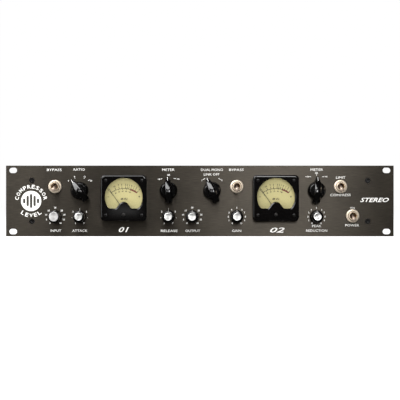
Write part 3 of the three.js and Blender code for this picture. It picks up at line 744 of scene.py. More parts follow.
# Marks round the bar knobs: the text and its place from the knob's axis.
POSITIONS = {
    "ratio_knob": (("4", -14.2, 12.1), ("8", -6.5, 17.1), ("12", 6.1, 17.3), ("20", 14.0, 12.2)),
    "left_meter_select_knob": (("+8", -12.0, 14.0), ("GR", 0.1, 19.4), ("+4", 12.0, 14.3)),
    "link_knob": (("1", -12.4, 12.8), ("2", 12.4, 12.8)),
    "right_meter_select_knob": (("+10", -11.8, 17.3), ("GR", 0.1, 21.8), ("+4", 12.0, 17.3)),
}

# Dashes round a knob: the middle from the knob's axis, the length, the width and the angle.
SHORT_DASHES = ((0, 9.5, 0.4, 1.6, 0), (-9.6, -1.4, 0.35, 1.0, 8), (9.6, -1.4, 0.35, 1.0, -8))
DASHES = {
    "attack_knob": SHORT_DASHES, "release_knob": SHORT_DASHES,
    "ratio_knob": ((11.3, 12.7, 2.2, 0.5, -25), (5.6, 15.3, 0.5, 1.2, 20), (-6.0, 15.2, 0.5, 1.2, -20)),
    "left_meter_select_knob": ((-8.9, 14.5, 2.6, 0.5, -22), (8.0, 14.9, 3.0, 0.5, 15)),
    "link_knob": ((-9.6, 14.4, 3.0, 0.6, -30), (9.6, 14.4, 3.0, 0.6, 30)),
    "right_meter_select_knob": ((-8.2, 17.2, 2.8, 0.5, 0), (8.4, 17.2, 2.8, 0.5, 0),
                                (0.1, 19.4, 0.5, 1.6, 0)),
}


def panel_lettering():
    meshes = [placed(words(text, width, WORD_HEIGHT), x, 0, z) for text, x, z, width in PANEL_WORDS]
    meshes += [placed(words(text, width, height, slant, weight), x, 0, z)
               for text, x, z, width, height, slant, weight in OTHER_WORDS]
    for knob, (places, numbers) in KNOB_NUMBERS.items():
        x, z = panel_place(shaft_of(knob))
        for (angle, radius), number in zip(places, numbers):
            px, pz = around(x, z, radius, angle)
            meshes.append(placed(words(str(number), 0, 2.1, weight=0.3), px, 0, pz))
    for knob, marks in POSITIONS.items():
        x, z = panel_place(shaft_of(knob))
        meshes += [placed(words(text, 0, 2.0, weight=0.2), x + dx, 0, z + dz) for text, dx, dz in marks]
    for knob, dashes in DASHES.items():
        x, z = panel_place(shaft_of(knob))
        meshes += [bar(x + dx, z + dz, length, width, angle) for dx, dz, length, width, angle in dashes]
    add("panel_lettering", merged(meshes), FACE_CENTRE, WHITE_INK)


EMBLEM = {"x": -210.0, "disc": 12.6, "ring": 17.9, "letter": 4.7}
LEVEL_BARS = {"heights": (6, 13, 17.5, 13, 6), "width": 2.9, "pitch": 4.3}
BARS_PROUD = 0.06  # of the disc that the bars are printed on


def ring_words(text, middle_angle, step, width):
    """Words set letter by letter round the emblem. Below its middle they turn over, so they read upright."""
    below = abs(middle_angle) > 90
    meshes = []
    for i, letter in enumerate(text):
        offset = (i - (len(text) - 1) / 2) * step
        angle = middle_angle + (-offset if below else offset)
        turn = Matrix.Rotation(math.radians(angle + (180 if below else 0)), 4, "Y")
        x, z = around(EMBLEM["x"], 0, EMBLEM["ring"], angle)
        meshes.append(placed(words(letter, width, EMBLEM["letter"], weight=0.15), x, 0, z, turn))
    return meshes


def emblem():
    """A plain badge: five level bars on a disc, inside a ring of words."""
    x = EMBLEM["x"]
    add("badge_disc", mark(circle(x, 0, EMBLEM["disc"], 72)), FACE_CENTRE, WHITE_INK)
    bars = [placed(mark(upright_slot(x + (i - 2) * LEVEL_BARS["pitch"], 0, LEVEL_BARS["width"], height)),
                   y=-BARS_PROUD) for i, height in enumerate(LEVEL_BARS["heights"])]
    add("badge_bars", merged(bars), FACE_CENTRE, DARK_MARK)
    ring = ring_words("COMPRESSOR", 0, 17.6, 4.0) + ring_words("LEVEL", 180, 17.5, 3.8)
    add("badge_ring", merged(ring), FACE_CENTRE, WHITE_INK)


def panel_screws():
    """Black countersunk screws with a hexagon socket."""
    top, head, shank, length = 0.1, 3.0, 1.5, 11.0
    profile = [(0, top), (head - 0.15, top), (head, top + 0.15), (shank, top + head - shank),
               (shank, length - 0.5), (shank - 0.5, length), (0, length)]
    socket = turned([(0, -1), (1.5, -1), (1.5, top + 1.3), (0, top + 1.7)], 6)
    mesh = cut(turned(profile, 40), socket)
    for node in SCREW_NODES:
        add(f"{node}_visual", mesh, on_face(node), BLACK_OXIDE, stands_for=[node])


# ---------- Round knobs ----------

KNOB_STEPS = 144
FLUTES, FLUTE_DEPTH = 36, 0.16
GRIP_FRONT, GRIP_REAR, GRIP_RADIUS = -14.7, -4.5, 6.95  # the depths and the radius where the flutes begin
CAP_RADIUS = {"input_knob": 5.9}
USUAL_CAP_RADIUS = 4.9


def round_knob_body(cap_radius):
    """A black grip with fine flutes, a flared skirt, a recess for the cap and a hollow underneath."""
    profile = [(0, -16.1), (cap_radius, -16.1), (cap_radius, -16.45), (cap_radius + 0.15, -16.6),
               (6.4, -16.55), (6.8, -16.3), (6.95, -15.8), (7.0, -14.6), (7.45, -4.6), (7.5, -3.4),
               (7.85, -2.95), (8.1, -2.75), (8.2, -2.5), (8.2, -1.1), (8.0, -0.9), (6.9, -0.9), (6.9, -3.4),
               (3.5, -3.4), (3.5, -12.4), (0, -12.5)]
    mesh = turned(profile, KNOB_STEPS)
    for vertex in mesh.vertices:
        x, y, z = vertex.co / MM
        radius = math.hypot(x, z)
        if GRIP_FRONT < y < GRIP_REAR and radius > GRIP_RADIUS:
            depth = FLUTE_DEPTH * (0.5 + 0.5 * math.cos(FLUTES * math.atan2(x, z)))
            vertex.co.x *= (radius - depth) / radius
            vertex.co.z *= (radius - depth) / radius
    return tidy(mesh, 38)


def knob_cap(radius):
    """The turned aluminium disc in the knob's face, dished a little, with a chamfered rim."""
    return turned([(0, -16.86), (0.5 * radius, -16.88), (radius - 0.75, -16.98), (radius - 0.5, -17.0),
                   (radius - 0.15, -16.8), (radius - 0.05, -16.05), (0, -16.05)], 96)


def line_strip(outer, inner, half):
    """A strip let into a surface: its outside, then its inside, as (y, z), from -half to half along x."""
    return loft([[(x, y, z) for y, z in outer + inner[::-1]] for x in (-half, half)])


LINE_PROUD, LINE_SUNK = 0.05, 0.3


def knob_line():
    """The grey line that runs from the cap's edge, down the grip and over the skirt."""
    line = [(6.2, -16.57), (6.5, -16.5), (6.85, -16.2), (7.02, -14.6), (7.5, -3.6), (8.15, -2.8),
            (8.24, -1.4)]
    return line_strip([(y - LINE_PROUD / 2, r + LINE_PROUD) for r, y in line],
                      [(y + LINE_SUNK, r - LINE_SUNK) for r, y in line], 0.22)


def round_knobs():
    line = knob_line()
    made = {}
    for node in ROUND_KNOBS:
        place, rides = on_face(shaft_of(node)), body_of(node)
        radius = CAP_RADIUS.get(node, USUAL_CAP_RADIUS)
        if radius not in made:
            made[radius] = round_knob_body(radius), knob_cap(radius)
        body, cap = made[radius]
        add(f"{node}_body", body, place, KNOB_BLACK, rides, [node])
        add(f"{node}_cap", cap, place, SATIN_ALUMINIUM if node in CAP_RADIUS else SPUN_ALUMINIUM, rides)
        add(f"{node}_line", line, place, GREY_INK, rides)


# ---------- Bar knobs ----------

# Along the bar, from tail to tip: the place, the foot's half width, the ridge's half width and its height.
BAR_STATIONS = (
    (-15.8, 3.2, 1.2, 9.4), (-15.2, 4.2, 2.1, 11.6), (-13.6, 4.7, 2.8, 13.9), (-10.0, 4.8, 3.2, 16.2),
    (-6.0, 4.8, 3.4, 17.5), (-3.0, 4.8, 3.4, 17.9), (0.0, 4.8, 3.4, 17.7), (2.0, 4.8, 3.4, 17.0),
    (4.0, 4.7, 3.4, 16.0), (6.0, 4.5, 3.3, 14.85), (8.0, 4.2, 3.2, 13.6), (10.0, 3.9, 3.0, 12.25),
    (12.0, 3.4, 2.6, 10.7), (13.4, 2.9, 2.2, 9.3), (15.0, 2.3, 1.7, 7.2), (16.8, 1.5, 1.1, 4.4),
    (17.4, 0.8, 0.5, 3.2),
)
BAR_FOOT = -1.2
CREST = 0.04  # of the ridge's half width, by which its middle stands above its height


def bar_section(half, ridge, height):
    """A cross-section of the bar: a rounded ridge, slanting sides and a flat foot, as (x, y)."""
    shoulder = min(2.4, 0.45 * height)
    right = [(half, BAR_FOOT), (half, -0.45 * height), (half - 0.15, -height + shoulder),
             (1.05 * ridge, -height + 0.4 * shoulder), (0.97 * ridge, -height + 0.2 * shoulder),
             (0.8 * ridge, -height + 0.06 * shoulder), (0.5 * ridge, -height), (0, -height - CREST * ridge)]
    return right + [(-x, y) for x, y in reversed(right[:-1])]


def bar_knob_body():
    """The pointer bar on its dome, with a hollow underneath."""
    dome = turned([(0, -9.9), (8.2, -9.85), (8.6, -9.7), (8.9, -9.35), (9.5, -8.5), (10.2, -7.3),
                   (10.9, -5.3), (11.2, -3.4), (11.2, -1.2), (10.9, -0.9), (0, -0.9)], 96)
    pointer = loft([[(x, y, z) for x, y in bar_section(half, ridge, height)]
                    for z, half, ridge, height in BAR_STATIONS], 38)
    hollow = turned([(0, 0), (7.4, 0), (7.4, -3.4), (3.5, -3.4), (3.5, -12.5), (0, -12.5)], 48)
    return cut(joined(dome, pointer), hollow)


def bar_knob_line():
    """The white line let into the ridge, from the middle of its slope to just short of its tip."""
    along = [(-height - CREST * ridge, z) for z, _, ridge, height in BAR_STATIONS[:-1] if z > 11]
    return line_strip([(y - LINE_PROUD, z) for y, z in along], [(y + LINE_SUNK, z) for y, z in along], 0.25)


def bar_knobs():
    body, line = bar_knob_body(), bar_knob_line()
    for node in BAR_KNOBS:
        place, rides = on_face(shaft_of(node)), body_of(node)
        turn = (0, tip_angle(node, place), 0)
        add(f"{node}_body", body, place, BAR_BLACK, rides, [node], turn)
        add(f"{node}_line", line, place, WHITE_INK, rides, turn=turn)


# ---------- Toggle switches ----------

LEVER_PIVOT_Y = 1.0
LEVER_TILT = math.radians(12)
LEVER_REACH = 20.85  # from the pivot to the tip of the bat


def thread(radius, depth, y0, y1, pitch):
    """The profile of a thread's crests and roots, from y0 to y1."""
    count = round((y1 - y0) / pitch)
    profile = []
    for i in range(count):
        start = y0 + i * (y1 - y0) / count
        profile += [(radius - depth, start), (radius, start + 0.4 * pitch), (radius, start + 0.6 * pitch)]
    return [*profile, (radius - depth, y1)]


def switch_pieces():
    """The dress nut, the washer, the threaded bushing, the liner of its bore, and the case with its pins."""
    nut = turned([(6.15, -3.9), (6.8, -3.9), (7.35, -3.75), (7.9, -3.3), (8.2, -2.8), (8.2, -0.7),
                  (7.9, -0.4), (6.15, -0.4), (6.15, -3.9)], 72)
    washer = tube(7.7, 5.5, -0.38, -0.02, 48)
    bushing = turned([(4.5, -8.5), (4.9, -8.5), (5.15, -8.2), *thread(5.45, 0.25, -8.0, 3.6, 0.75),
                      (5.2, 4.6), (0, 4.6), (0, 4.3), (3.6, 4.2), (3.4, -2.0), (4.5, -8.5)])
    liner = turned([(4.45, -8.3), (3.34, -2.0), (3.34, 3.6), (3.24, 3.6), (3.24, -2.0), (4.3, -8.3),
                    (4.45, -8.3)])
    case = merged([block(-7.2, 7.2, 4.7, 21, -14, 14, 0.5),
                   *[block(-1.6, 1.6, 21, 26, z - 0.5, z + 0.5, 0.1) for z in (-8, 0, 8)]])
    return nut, washer, bushing, liner, case


def bat_lever():
    """The lever with its ball about the pivot, tilted to its place at rest."""
    tip = [(0, 0), (1.0, 0.1), (1.8, 0.5), (2.4, 1.2), (2.68, 2.1), (2.7, 3.2), (2.5, 5.0)]
    stem = [(1.75, -9.5), (1.6, -7.5), (1.6, -2.4), (2.1, -1.6), (2.5, -0.5), (2.5, 0.5), (2.1, 1.6),
            (1.2, 2.5), (0, 2.7)]
    lever = turned([(r, y - LEVER_REACH) for r, y in tip] + stem, 48)
    return placed(lever, turn=Matrix.Rotation(LEVER_TILT, 4, "X"))


def toggles():
    nut, washer, bushing, liner, case = switch_pieces()
    lever = bat_lever()
    for node in LEVER_NODES:
        switch = switch_of(node)
        place = on_face(switch)
        add(f"{switch}_bushing", bushing, place, NICKEL, stands_for=[switch])
        add(f"{switch}_nut", nut, place, NICKEL)
        add(f"{switch}_washer", washer, place, DULL_BRASS)
        add(f"{switch}_liner", liner, place, DULL_BRASS)
        add(f"{switch}_case", case, place, SATIN_BLACK)
        pivot = place + Vector((0, LEVER_PIVOT_Y * MM, 0))
        add(f"{node}_bat", lever, pivot, LEVER_NICKEL_PAINTED_SHADE, body_of(node), [node])


# ---------- Meters ----------

COVER = {"side": 57.0, "corner": 5.0, "front": -11.0, "back": -0.3, "edge": 2.3}
HOLLOW_SIDE, HOLLOW_FRONT = 52.0, -8.2
WINDOW = {"radius": 23.3, "z": 1.3, "floor": -13.0, "corner_x": 16.8, "corner_rise": 2.6}
HUMP = {"half": 10.3, "top": -4.7}
CORNER_SCREWS = [(sx * 22.3, sz * 21.5) for _, sx in SIDES for _, sz in LEVELS]
PIVOT_Z, ZERO_Z = -15.7, -20.7  # the needle's axis and the zero adjuster's, from the middle of the cover
DIAL_FRONT = -3.2
ARC = {"radius": 27.4, "half_angle": 36.0, "red_start": 0.74}
TICK, NUMBER_RADIUS = 2.8, 32.2
# The numbers along the scale, each with its place from 0 to 1.
SCALE_NUMBERS = (("20", 0.0), ("10", 0.2), ("7", 0.33), ("5", 0.43), ("3", 0.55), ("2", 0.61), ("1", 0.67),
                 ("0", 0.74), ("1", 0.82), ("2", 0.9), ("3", 1.0))


def bezier(p0, p1, p2, p3, steps):
    result = []
    for i in range(steps + 1):
        t = i / steps
        weights = ((1 - t) ** 3, 3 * t * (1 - t) ** 2, 3 * t * t * (1 - t), t ** 3)
        result.append(tuple(sum(w * p[k] for w, p in zip(weights, (p0, p1, p2, p3))) for k in (0, 1)))
    return result


def window_outline():
    """A circle with a flat floor and rounded lower corners, and a hump in the floor over the moving coil."""
    radius, z, floor = WINDOW["radius"], WINDOW["z"], WINDOW["floor"]
    low = floor + WINDOW["corner_rise"]
    start = math.degrees(math.asin((low - z) / radius))
    side_x = radius * math.cos(math.radians(start))
    corner = bezier((-side_x, low), (-side_x + 0.8, floor + 0.7), (-WINDOW["corner_x"] - 0.9, floor),
                    (-WINDOW["corner_x"] + 0.6, floor), 5)
    hump = bezier((-HUMP["half"], floor), (0.74 * -HUMP["half"], floor), (0.64 * -HUMP["half"], HUMP["top"]),
                  (0, HUMP["top"]), 10)
    left = corner[1:] + hump
    right = [(-px, pz) for px, pz in reversed(left[:-1])]
    return arc(0, z, radius, start, 180 - start, 64) + left + right


def meter_cover():
    """A moulded cover: rounded front edges, a window with a chamfer, and a hollow behind it."""
    side, corner, front, edge = COVER["side"], COVER["corner"], COVER["front"], COVER["edge"]
    loops = []
    for angle in range(0, 91, 15):
        inset = edge * (1 - math.sin(math.radians(angle)))
        depth = front + edge * (1 - math.cos(math.radians(angle)))
        width = side - 2 * inset
        loops.append(at_depth(rounded_box(0, 0, width, width, corner - 0.7 * inset, 8), depth))
    loops.append(at_depth(rounded_box(0, 0, side, side, corner, 8), COVER["back"]))
    hollow = prism(rounded_box(0, 0, HOLLOW_SIDE, HOLLOW_SIDE, 2.5, 4), HOLLOW_FRONT, 1)
    outline = window_outline()
    opening = loft([at_depth(grown(outline, 1.5), front - 0.1), at_depth(grown(outline, 1.35), front),
                    at_depth(grown(outline, 0.35), front + 0.65), at_depth(outline, front + 1.4),
                    at_depth(outline, HOLLOW_FRONT + 1)])
    zero_hole = placed(drill(1.7, -12, -6), z=ZERO_Z)
    dimples = [placed(drill(2.6, -12, front + 0.7, 32), x, 0, z) for x, z in CORNER_SCREWS]
    return cut(loft(loops, 40), hollow, opening, zero_hole, *dimples)


def slotted_screw(radius, front, depth):
    """A screw head with a domed face and a driver slot."""
    head = turned([(0, front), (radius * 0.5, front + 0.08), (radius - 0.25, front + 0.28),
                   (radius, front + 0.6), (radius, front + depth), (0, front + depth)], 36)
    return cut(head, block(-radius - 1, radius + 1, front - 1, front + 0.62, -0.3, 0.3, 0.01))


def dial_face():
    """The dial's plate, with a hole for the movement."""
    return cut(prism(rectangle(-24.5, 24.5, -14.5, 25.3), DIAL_FRONT, DIAL_FRONT + 0.6),
               placed(drill(6, -4, 0, 48), z=PIVOT_Z))


def scale_angle(share):
    return ARC["half_angle"] * (2 * share - 1)


def dial_bar(radius, share, width, length):
    """A tick of the scale."""
    angle = scale_angle(share)
    return bar(*around(0, PIVOT_Z, radius, angle), width, length, angle)


def dial_text(text, radius, share, height):
    """A number of the scale, its feet towards the pivot."""
    angle = scale_angle(share)
    x, z = around(0, PIVOT_Z, radius, angle)
    return placed(words(text, 0, height, weight=0.25), x, 0, z, Matrix.Rotation(math.radians(angle), 4, "Y"))


def dial_band(below, above, start, end, steps):
    """A band along the scale's arc, from one share of it to another."""
    radius = ARC["radius"]
    return sector(0, PIVOT_Z, radius - below, radius + above, scale_angle(start), scale_angle(end), steps)


def dial_scale():
    """The black arc with its ticks and two rows of numbers, and the red arc over the top of the range."""
    radius, red_start = ARC["radius"], ARC["red_start"]
    black = [dial_band(0.3, 0.3, 0, red_start, 32)]
    for text, share in SCALE_NUMBERS:
        black.append(dial_bar(radius + TICK / 2, share, 0.65, TICK))
        black.append(dial_text(text, NUMBER_RADIUS, share, 2.2))
    for i in range(6):
        share = red_start * i / 5
        black.append(dial_bar(radius - 1.0, share, 0.4, 1.8))
        black.append(dial_text(str(20 * i), radius - 3.4, share, 1.6))
    black.append(placed(words("dB VU", 8.4, 2.6, weight=0.3), 0, 0, -1.2))
    minus, plus = [bar(-19.6, 1.4, 2.2, 0.6)], [bar(18.9, 1.6, 2.4, 0.6), bar(18.9, 1.6, 0.6, 2.4)]
    return merged(black + minus + plus), dial_band(1.0, 0.9, red_start, 1, 16)


def meter_needle():
    """A thin tapered blade with a hub, an axle and a balancing tail, upright about its pivot."""
    blade = loft([at_depth([(-0.6, -7.6), (0.6, -7.6), (0.4, 0), (0.2, 30.8), (-0.2, 30.8), (-0.4, 0)], y)
                  for y in (-4.9, -4.4)])
    tail = block(-1.7, 1.7, -5.0, -4.2, -8.6, -6.0, 0.15)
    hub = turned([(0, -5.2), (1.9, -5.2), (2.3, -4.9), (2.3, -4.1), (1.9, -3.8), (0.9, -3.8), (0.9, 3.3),
                  (0, 3.3)], 32)
    return joined(hub, blade, tail)


def zero_screw():
    """The slotted zero adjuster, which is held in its hole by a groove."""
    front = COVER["front"]
    profile = [(0, -0.95), (1.6, -0.9), (2.1, -0.7), (2.2, -0.3), (1.3, -0.3), (1.3, 3.1), (2.2, 3.1),
               (2.2, 4.0), (0, 4.0)]
    return cut(turned([(radius, front + y) for radius, y in profile], 40),
               block(-4, 4, front - 2, front - 0.5, -0.4, 0.4, 0.01))


def meters():
    cover, face, needle, zero = meter_cover(), dial_face(), meter_needle(), zero_screw()
    black, red = dial_scale()
    screw = slotted_screw(2.35, COVER["front"] + 0.15, 1.2)
    for side, _ in SIDES:
        name = f"{side}_meter"
        place = on_face(f"{name}_cover")
        add(f"{name}_cover_moulding", cover, place, BLACK_GLOSS,
            stands_for=[f"{name}_cover"])
        add_screws(f"{name}_corner_screw", screw, place, CORNER_SCREWS)
        add(f"{name}_dial_face", face, place, DIAL_PAINT, stands_for=[f"{name}_dial"])
        dial_place = place + Vector((0, DIAL_FRONT * MM, 0))
        add(f"{name}_scale", black, dial_place, BLACK_INK)
        add(f"{name}_red_arc", red, dial_place, RED_INK)
        node, pivot = f"{name}_needle", place + Vector((0, 0, PIVOT_Z * MM))
        add(f"{node}_pointer", needle, pivot, BLACK_INK, body_of(node), [node],
            (0, tip_angle(node, pivot), 0))
        node, pivot = f"{name}_zero_screw", place + Vector((0, 0, ZERO_Z * MM))
        add(f"{node}_head", zero, pivot, DARK_CHROME, body_of(node), [node])
        dress(f"{name}_window", GLASS)
        dress(f"{name}_case", SATIN_BLACK)


# ---------- Case ----------

CASE_HALF, LID_HALF = size_of("chassis_tray").x / 2, size_of("top_cover").x / 2
SHEET = 1.2
BEND = 2.0
TAB = {"width": 13, "low": 7, "high": 81.8, "screw_x": 209.0, "screw_z": 25.4}  # behind each end of the panel
VENTS = {"count": 8, "pitch": 9, "length": 84, "width": 3.4}
LID_SCREWS = {"inset": 18, "above_edge": 6}
REAR_SCREWS = {"inset": 8, "reach": 20, "drop": 6}
BOARD_SCREWS = {"inset": 8, "middle": -66}


def folded_sheet(half, brim, base, front, rear, sign=1):
    """A sheet folded into a U with rounded bends. sign is 1 for a tray and -1 for a lid, which opens down."""
    brim, bend, inner, inner_bend = sign * brim, sign * base + BEND, half - SHEET, BEND - SHEET
    outside = [(-half, brim), *arc(-half + BEND, bend, BEND, 180, 270, 5),
               *arc(half - BEND, bend, BEND, 270, 360, 5), (half, brim)]
    inside = [(inner, brim), *arc(inner - inner_bend, bend, inner_bend, 0, -90, 5),
              *arc(-inner + inner_bend, bend, inner_bend, 270, 180, 5), (-inner, brim)]
    return plate([(sign * x, sign * z) for x, z in outside + inside], [], front, rear, bevel=0.12)


def tray():
    """The folded steel tray, with a tab and two pressed-in nuts behind each end of the panel."""
    (_, front, bottom), (_, rear, top) = extent("chassis_tray", FACE_FOOT)
    pieces = [folded_sheet(CASE_HALF, top, bottom, front, rear)]
    for _, sx in SIDES:
        x0, x1 = sorted((sx * (CASE_HALF - TAB["width"]), sx * (CASE_HALF - SHEET - 0.05)))
        screws = [(sx * TAB["screw_x"], MID_Z / MM + sz * TAB["screw_z"]) for _, sz in LEVELS]
        holes = [circle(x, z, 1.9, 20) for x, z in screws]
        outline = rectangle(x0, x1, TAB["low"], TAB["high"])
        pieces.append(plate(outline, holes, front, front + SHEET, bevel=0.1))
        pieces += [placed(tube(3.3, 1.9, 1.0, 3.5, 24), x, front, z) for x, z in screws]
    add("tray_sheet", merged(pieces), FACE_FOOT, POWDER_COAT, "case", ["chassis_tray"])


def lid():
    """The folded lid with its two banks of air slots."""
    (_, front, bottom), (_, rear, top) = extent("top_cover", FACE_FOOT)
    centre = middle("power_transformer")
    flat = Matrix.Rotation(-math.pi / 2, 4, "X")
    vents = []
    for _, sx in SIDES:
        for row in range(VENTS["count"]):
            y = (centre.y - FACE_Y) / MM + (row - (VENTS["count"] - 1) / 2) * VENTS["pitch"]
            upright = prism(slot(sx * centre.x / MM, y, VENTS["length"], VENTS["width"]), -3, 3)
            vents.append(placed(upright, 0, 0, top - SHEET / 2, flat))
    mesh = cut(folded_sheet(LID_HALF, bottom, top, front, rear, -1), merged(vents))
    add("lid_sheet", mesh, FACE_FOOT, POWDER_COAT, "case", ["top_cover"])


def rear_plate():
    """The rear panel with its connectors' openings and a flange at each side."""
    (_, _, floor), (half, _, top) = extent("rear_panel", REAR_CENTRE)
    holes = [circle(middle(n).x / MM, 0, 12.0, 48) for n in JACK_NODES]
    holes.append(rounded_box(middle("mains_inlet").x / MM, 0, 29, 21.4, 2, 4))
    outline = rounded_box(0, (floor + top) / 2, 2 * half, top - floor, 0.5, 2)
    pieces = [plate(outline, holes, -SHEET, 0, bevel=0.12)]
    for _, sx in SIDES:
        x0, x1 = sorted((sx * half, sx * (half - SHEET)))
        pieces.append(block(x0, x1, -14, -SHEET + 0.05, floor + 4, top - 4, 0.1))
    add("rear_sheet", merged(pieces), REAR_CENTRE, POWDER_COAT, "case", ["rear_panel"])


def pan_head(radius, height):
    """A pan-head screw with a cross recess. Its axis is y and its top faces the front."""
    head = turned([(0, -height), (radius * 0.55, -height * 0.97), (radius * 0.85, -height * 0.75),
                   (radius, -height * 0.35), (radius, 0), (0, 0)], 36)
    arm, half, depth = radius * 0.55, 0.28, -height * 0.35
    cross = [block(-x, x, -height - 1, depth, -z, z, 0.01) for x, z in ((arm, half), (half, arm))]
    return cut(head, *cross)


def case_screws():
    """Screws through the lid's lips, through the walls into the rear panel, and through the floor."""
    side_head, floor_head = pan_head(2.9, 1.3), pan_head(2.9, 0.65)
    lid_low, lid_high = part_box("top_cover")
    inset = LID_SCREWS["inset"] * MM
    ys = [lid_low.y + inset, (lid_low.y + lid_high.y) / 2, lid_high.y - inset]
    for side, sx in SIDES:
        x, z = sx * LID_HALF * MM, lid_low.z + LID_SCREWS["above_edge"] * MM
        places = [(f"lid_screw_{side}_{i + 1}", x, y, z) for i, y in enumerate(ys)]
        x, y = sx * CASE_HALF * MM, REAR_Y - REAR_SCREWS["inset"] * MM
        for level, sz in LEVELS:
            z = MID_Z + (sz * REAR_SCREWS["reach"] - REAR_SCREWS["drop"]) * MM
            places.append((f"rear_screw_{side}_{level}", x, y, z))
        for name, *place in places:
            add(name, side_head, Vector(place), BLACK_OXIDE, turn=(0, 0, math.pi / 2 * sx))
    low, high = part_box("main_board")
    inset = BOARD_SCREWS["inset"] * MM
    feet = [(x, y) for x in (low.x + inset, BOARD_SCREWS["middle"] * MM, high.x - inset)
            for y in (low.y + inset, high.y - inset)]
    feet.append(tuple(middle("power_transformer"))[:2])
    for i, (x, y) in enumerate(feet):
        add(f"floor_screw_{i + 1}", floor_head, Vector((x, y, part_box("chassis_tray")[0].z)), BRIGHT_STEEL,
            turn=(math.pi / 2, 0, 0))


# ---------- Rear connectors ----------

JACK_NODES = [f"{side}_{way}_jack" for side, _ in SIDES for way in ("input", "output")]
JACK = {"width": 26.0, "height": 31.0, "face": 2.5, "body": 11.6, "inner": 7.9, "outer": 9.7}
JACK_SCREWS = ((-9.5, 12), (9.5, -12))
CONTACTS = [arc(0, 0, 3.9, angle, angle, 1)[0] for angle in (30, 150, 270)]
LATCH_POCKET = rectangle(-4.85, 4.85, 10.95, 14.55)
FACING_REAR = (0, 0, math.pi)
INLET_SCREWS = ((-20, 0), (20, 0))
INLET_BLADES = ((0, 3), (-7, -1.5), (7, -1.5))


def jack_flange(opening, extra=()):
    holes = [circle(0, 0, opening, 64), *[circle(x, z, 1.6, 24) for x, z in JACK_SCREWS], *extra]
    outline = rounded_box(0, 0, JACK["width"], JACK["height"], 3, 8)
    return plate(outline, holes, 0.3, JACK["face"], bevel=0.35, segments=2)


def at_contacts(mesh):
    """Three copies of a mesh, at a connector's three contacts."""
    return merged([placed(mesh.copy(), x, 0, z) for x, z in CONTACTS])


def socket_insert():
    """The socket's face, with a hole for each pin of the plug."""
    body = turned([(0, -10), (7.9, -10), (7.9, 1.4), (7.5, 1.8), (0, 1.8)], 64)
    return cut(body, *[placed(drill(1.4, -8, 3), x, 0, z) for x, z in CONTACTS])


def contact_pin():
    radius, y0, y1 = 1.2, -11, 1.5
    return turned([(0, y0), (radius, y0), (radius, y1 - 0.9), (radius * 0.8, y1 - 0.4), (radius * 0.35, y1),
                   (0, y1)], 24)


def latch_tab():
    """The push tab: a small plate with two grip grooves."""
    body = block(-4.5, 4.5, 1.95, 4.2, 11.3, 14.2, 0.25)
    grooves = [block(-3.2, 3.2, 3.95, 5, z - 0.25, z + 0.25, 0.01) for z in (12.3, 13.2)]
    return cut(body, *grooves)


def jacks():
    body, inner, outer = JACK["body"], JACK["inner"], JACK["outer"]
    socket_shell = merged([jack_flange(outer, [LATCH_POCKET]), tube(body, outer, -20.0, 0.4),
                           rod(body, -20.2, -10.1)])
    plug_shell = merged([jack_flange(inner), tube(body, inner, -10, 0.4), rod(body, -20, -9.9)])
    insert, latch, screw = socket_insert(), latch_tab(), pan_head(2.6, 1.0)
    sleeves, pins = at_contacts(tube(1.38, 0.95, -7.9, 1.2)), at_contacts(contact_pin())
    for node in JACK_NODES:
        place = on_rear(node)
        is_socket = "input" in node
        add(f"{node}_flange", socket_shell if is_socket else plug_shell, place, SATIN_NICKEL,
            stands_for=[node])
        if is_socket:
            add(f"{node}_insert", insert, place, SATIN_BLACK)
            add(f"{node}_contacts", sleeves, place, GOLD_CONTACT)
            tab = f"{node}_latch"
            add(f"{tab}_tab", latch, place, BLACK_OXIDE, body_of(tab), [tab])
        else:
            add(f"{node}_pins", pins, place, GOLD_CONTACT)
        add_screws(f"{node}_screw", screw, place, JACK_SCREWS, JACK["face"] - 0.3, FACING_REAR)


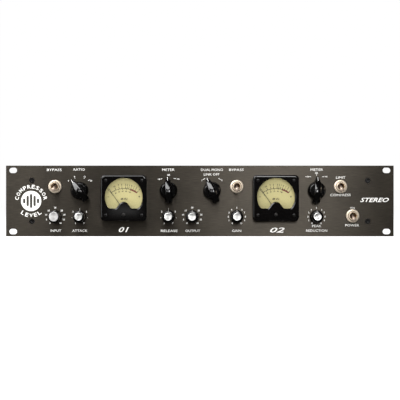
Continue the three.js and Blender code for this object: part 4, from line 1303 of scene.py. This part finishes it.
def mains_inlet():
    """The inlet: a flange, a well with two cut corners and three blades in it."""
    well = [(-12.3, -8.5), (12.3, -8.5), (12.3, 4.0), (7.8, 8.5), (-7.8, 8.5), (-12.3, 4.0)]
    holes = [well, *[circle(x, z, 1.8, 24) for x, z in INLET_SCREWS]]
    flange = plate(rounded_box(0, 0, 50, 24, 6, 10), holes, 0.3, 2.8, bevel=0.5, segments=3)
    box = cut(prism(rounded_box(0, 0, 28, 20.4, 1.8, 3), -18, 0.6), prism(well, -16, 2))
    blades = merged([block(x - 1, x + 1, -17, -0.2, z - 2, z + 2, 0.35) for x, z in INLET_BLADES])
    place = on_rear("mains_inlet")
    add("mains_inlet_moulding", merged([flange, box]), place, SATIN_BLACK, "case",
        ["mains_inlet"])
    add("mains_inlet_pins", blades, place, BRIGHT_STEEL)
    add_screws("mains_inlet_screw", pan_head(3.0, 1.2), place, INLET_SCREWS, 2.6, FACING_REAR)


# Words on the rear panel, each under its connector.
REAR_WORDS = (("left_input_jack", "INPUT 1"), ("left_output_jack", "OUTPUT 1"),
              ("right_input_jack", "INPUT 2"), ("right_output_jack", "OUTPUT 2"), ("mains_inlet", "AC IN"))
REAR_WORD_HEIGHT, REAR_WORD_Z = 2.8, -22


def rear_lettering():
    meshes = []
    for node, text in REAR_WORDS:
        word = words(text, 0, REAR_WORD_HEIGHT)
        word.transform(Matrix.Rotation(math.pi, 4, "Z"))
        meshes.append(placed(word, middle(node).x / MM, 0, REAR_WORD_Z))
    add("rear_lettering", merged(meshes), REAR_CENTRE, WHITE_INK)


# ---------- Inside ----------


def inside():
    """The CAD nodes that stay: shafts, boards and the transformer."""
    for node in NODES:
        if node.endswith("_shaft"):
            dress(node, BRIGHT_STEEL)
        elif node.endswith("control_board") or node == "main_board":
            dress(node, BOARD_GREEN)
    dress("power_transformer", AMBER_WINDING)
    dress("transformer_clamp", BRIGHT_STEEL)


make_camera()
make_light()
make_studio()
front_panel()
panel_lettering()
emblem()
panel_screws()
round_knobs()
bar_knobs()
toggles()
meters()
tray()
lid()
rear_plate()
case_screws()
jacks()
mains_inlet()
rear_lettering()
inside()
bpy.context.scene.view_settings.view_transform = "Standard"

bpy.context.view_layer.update()
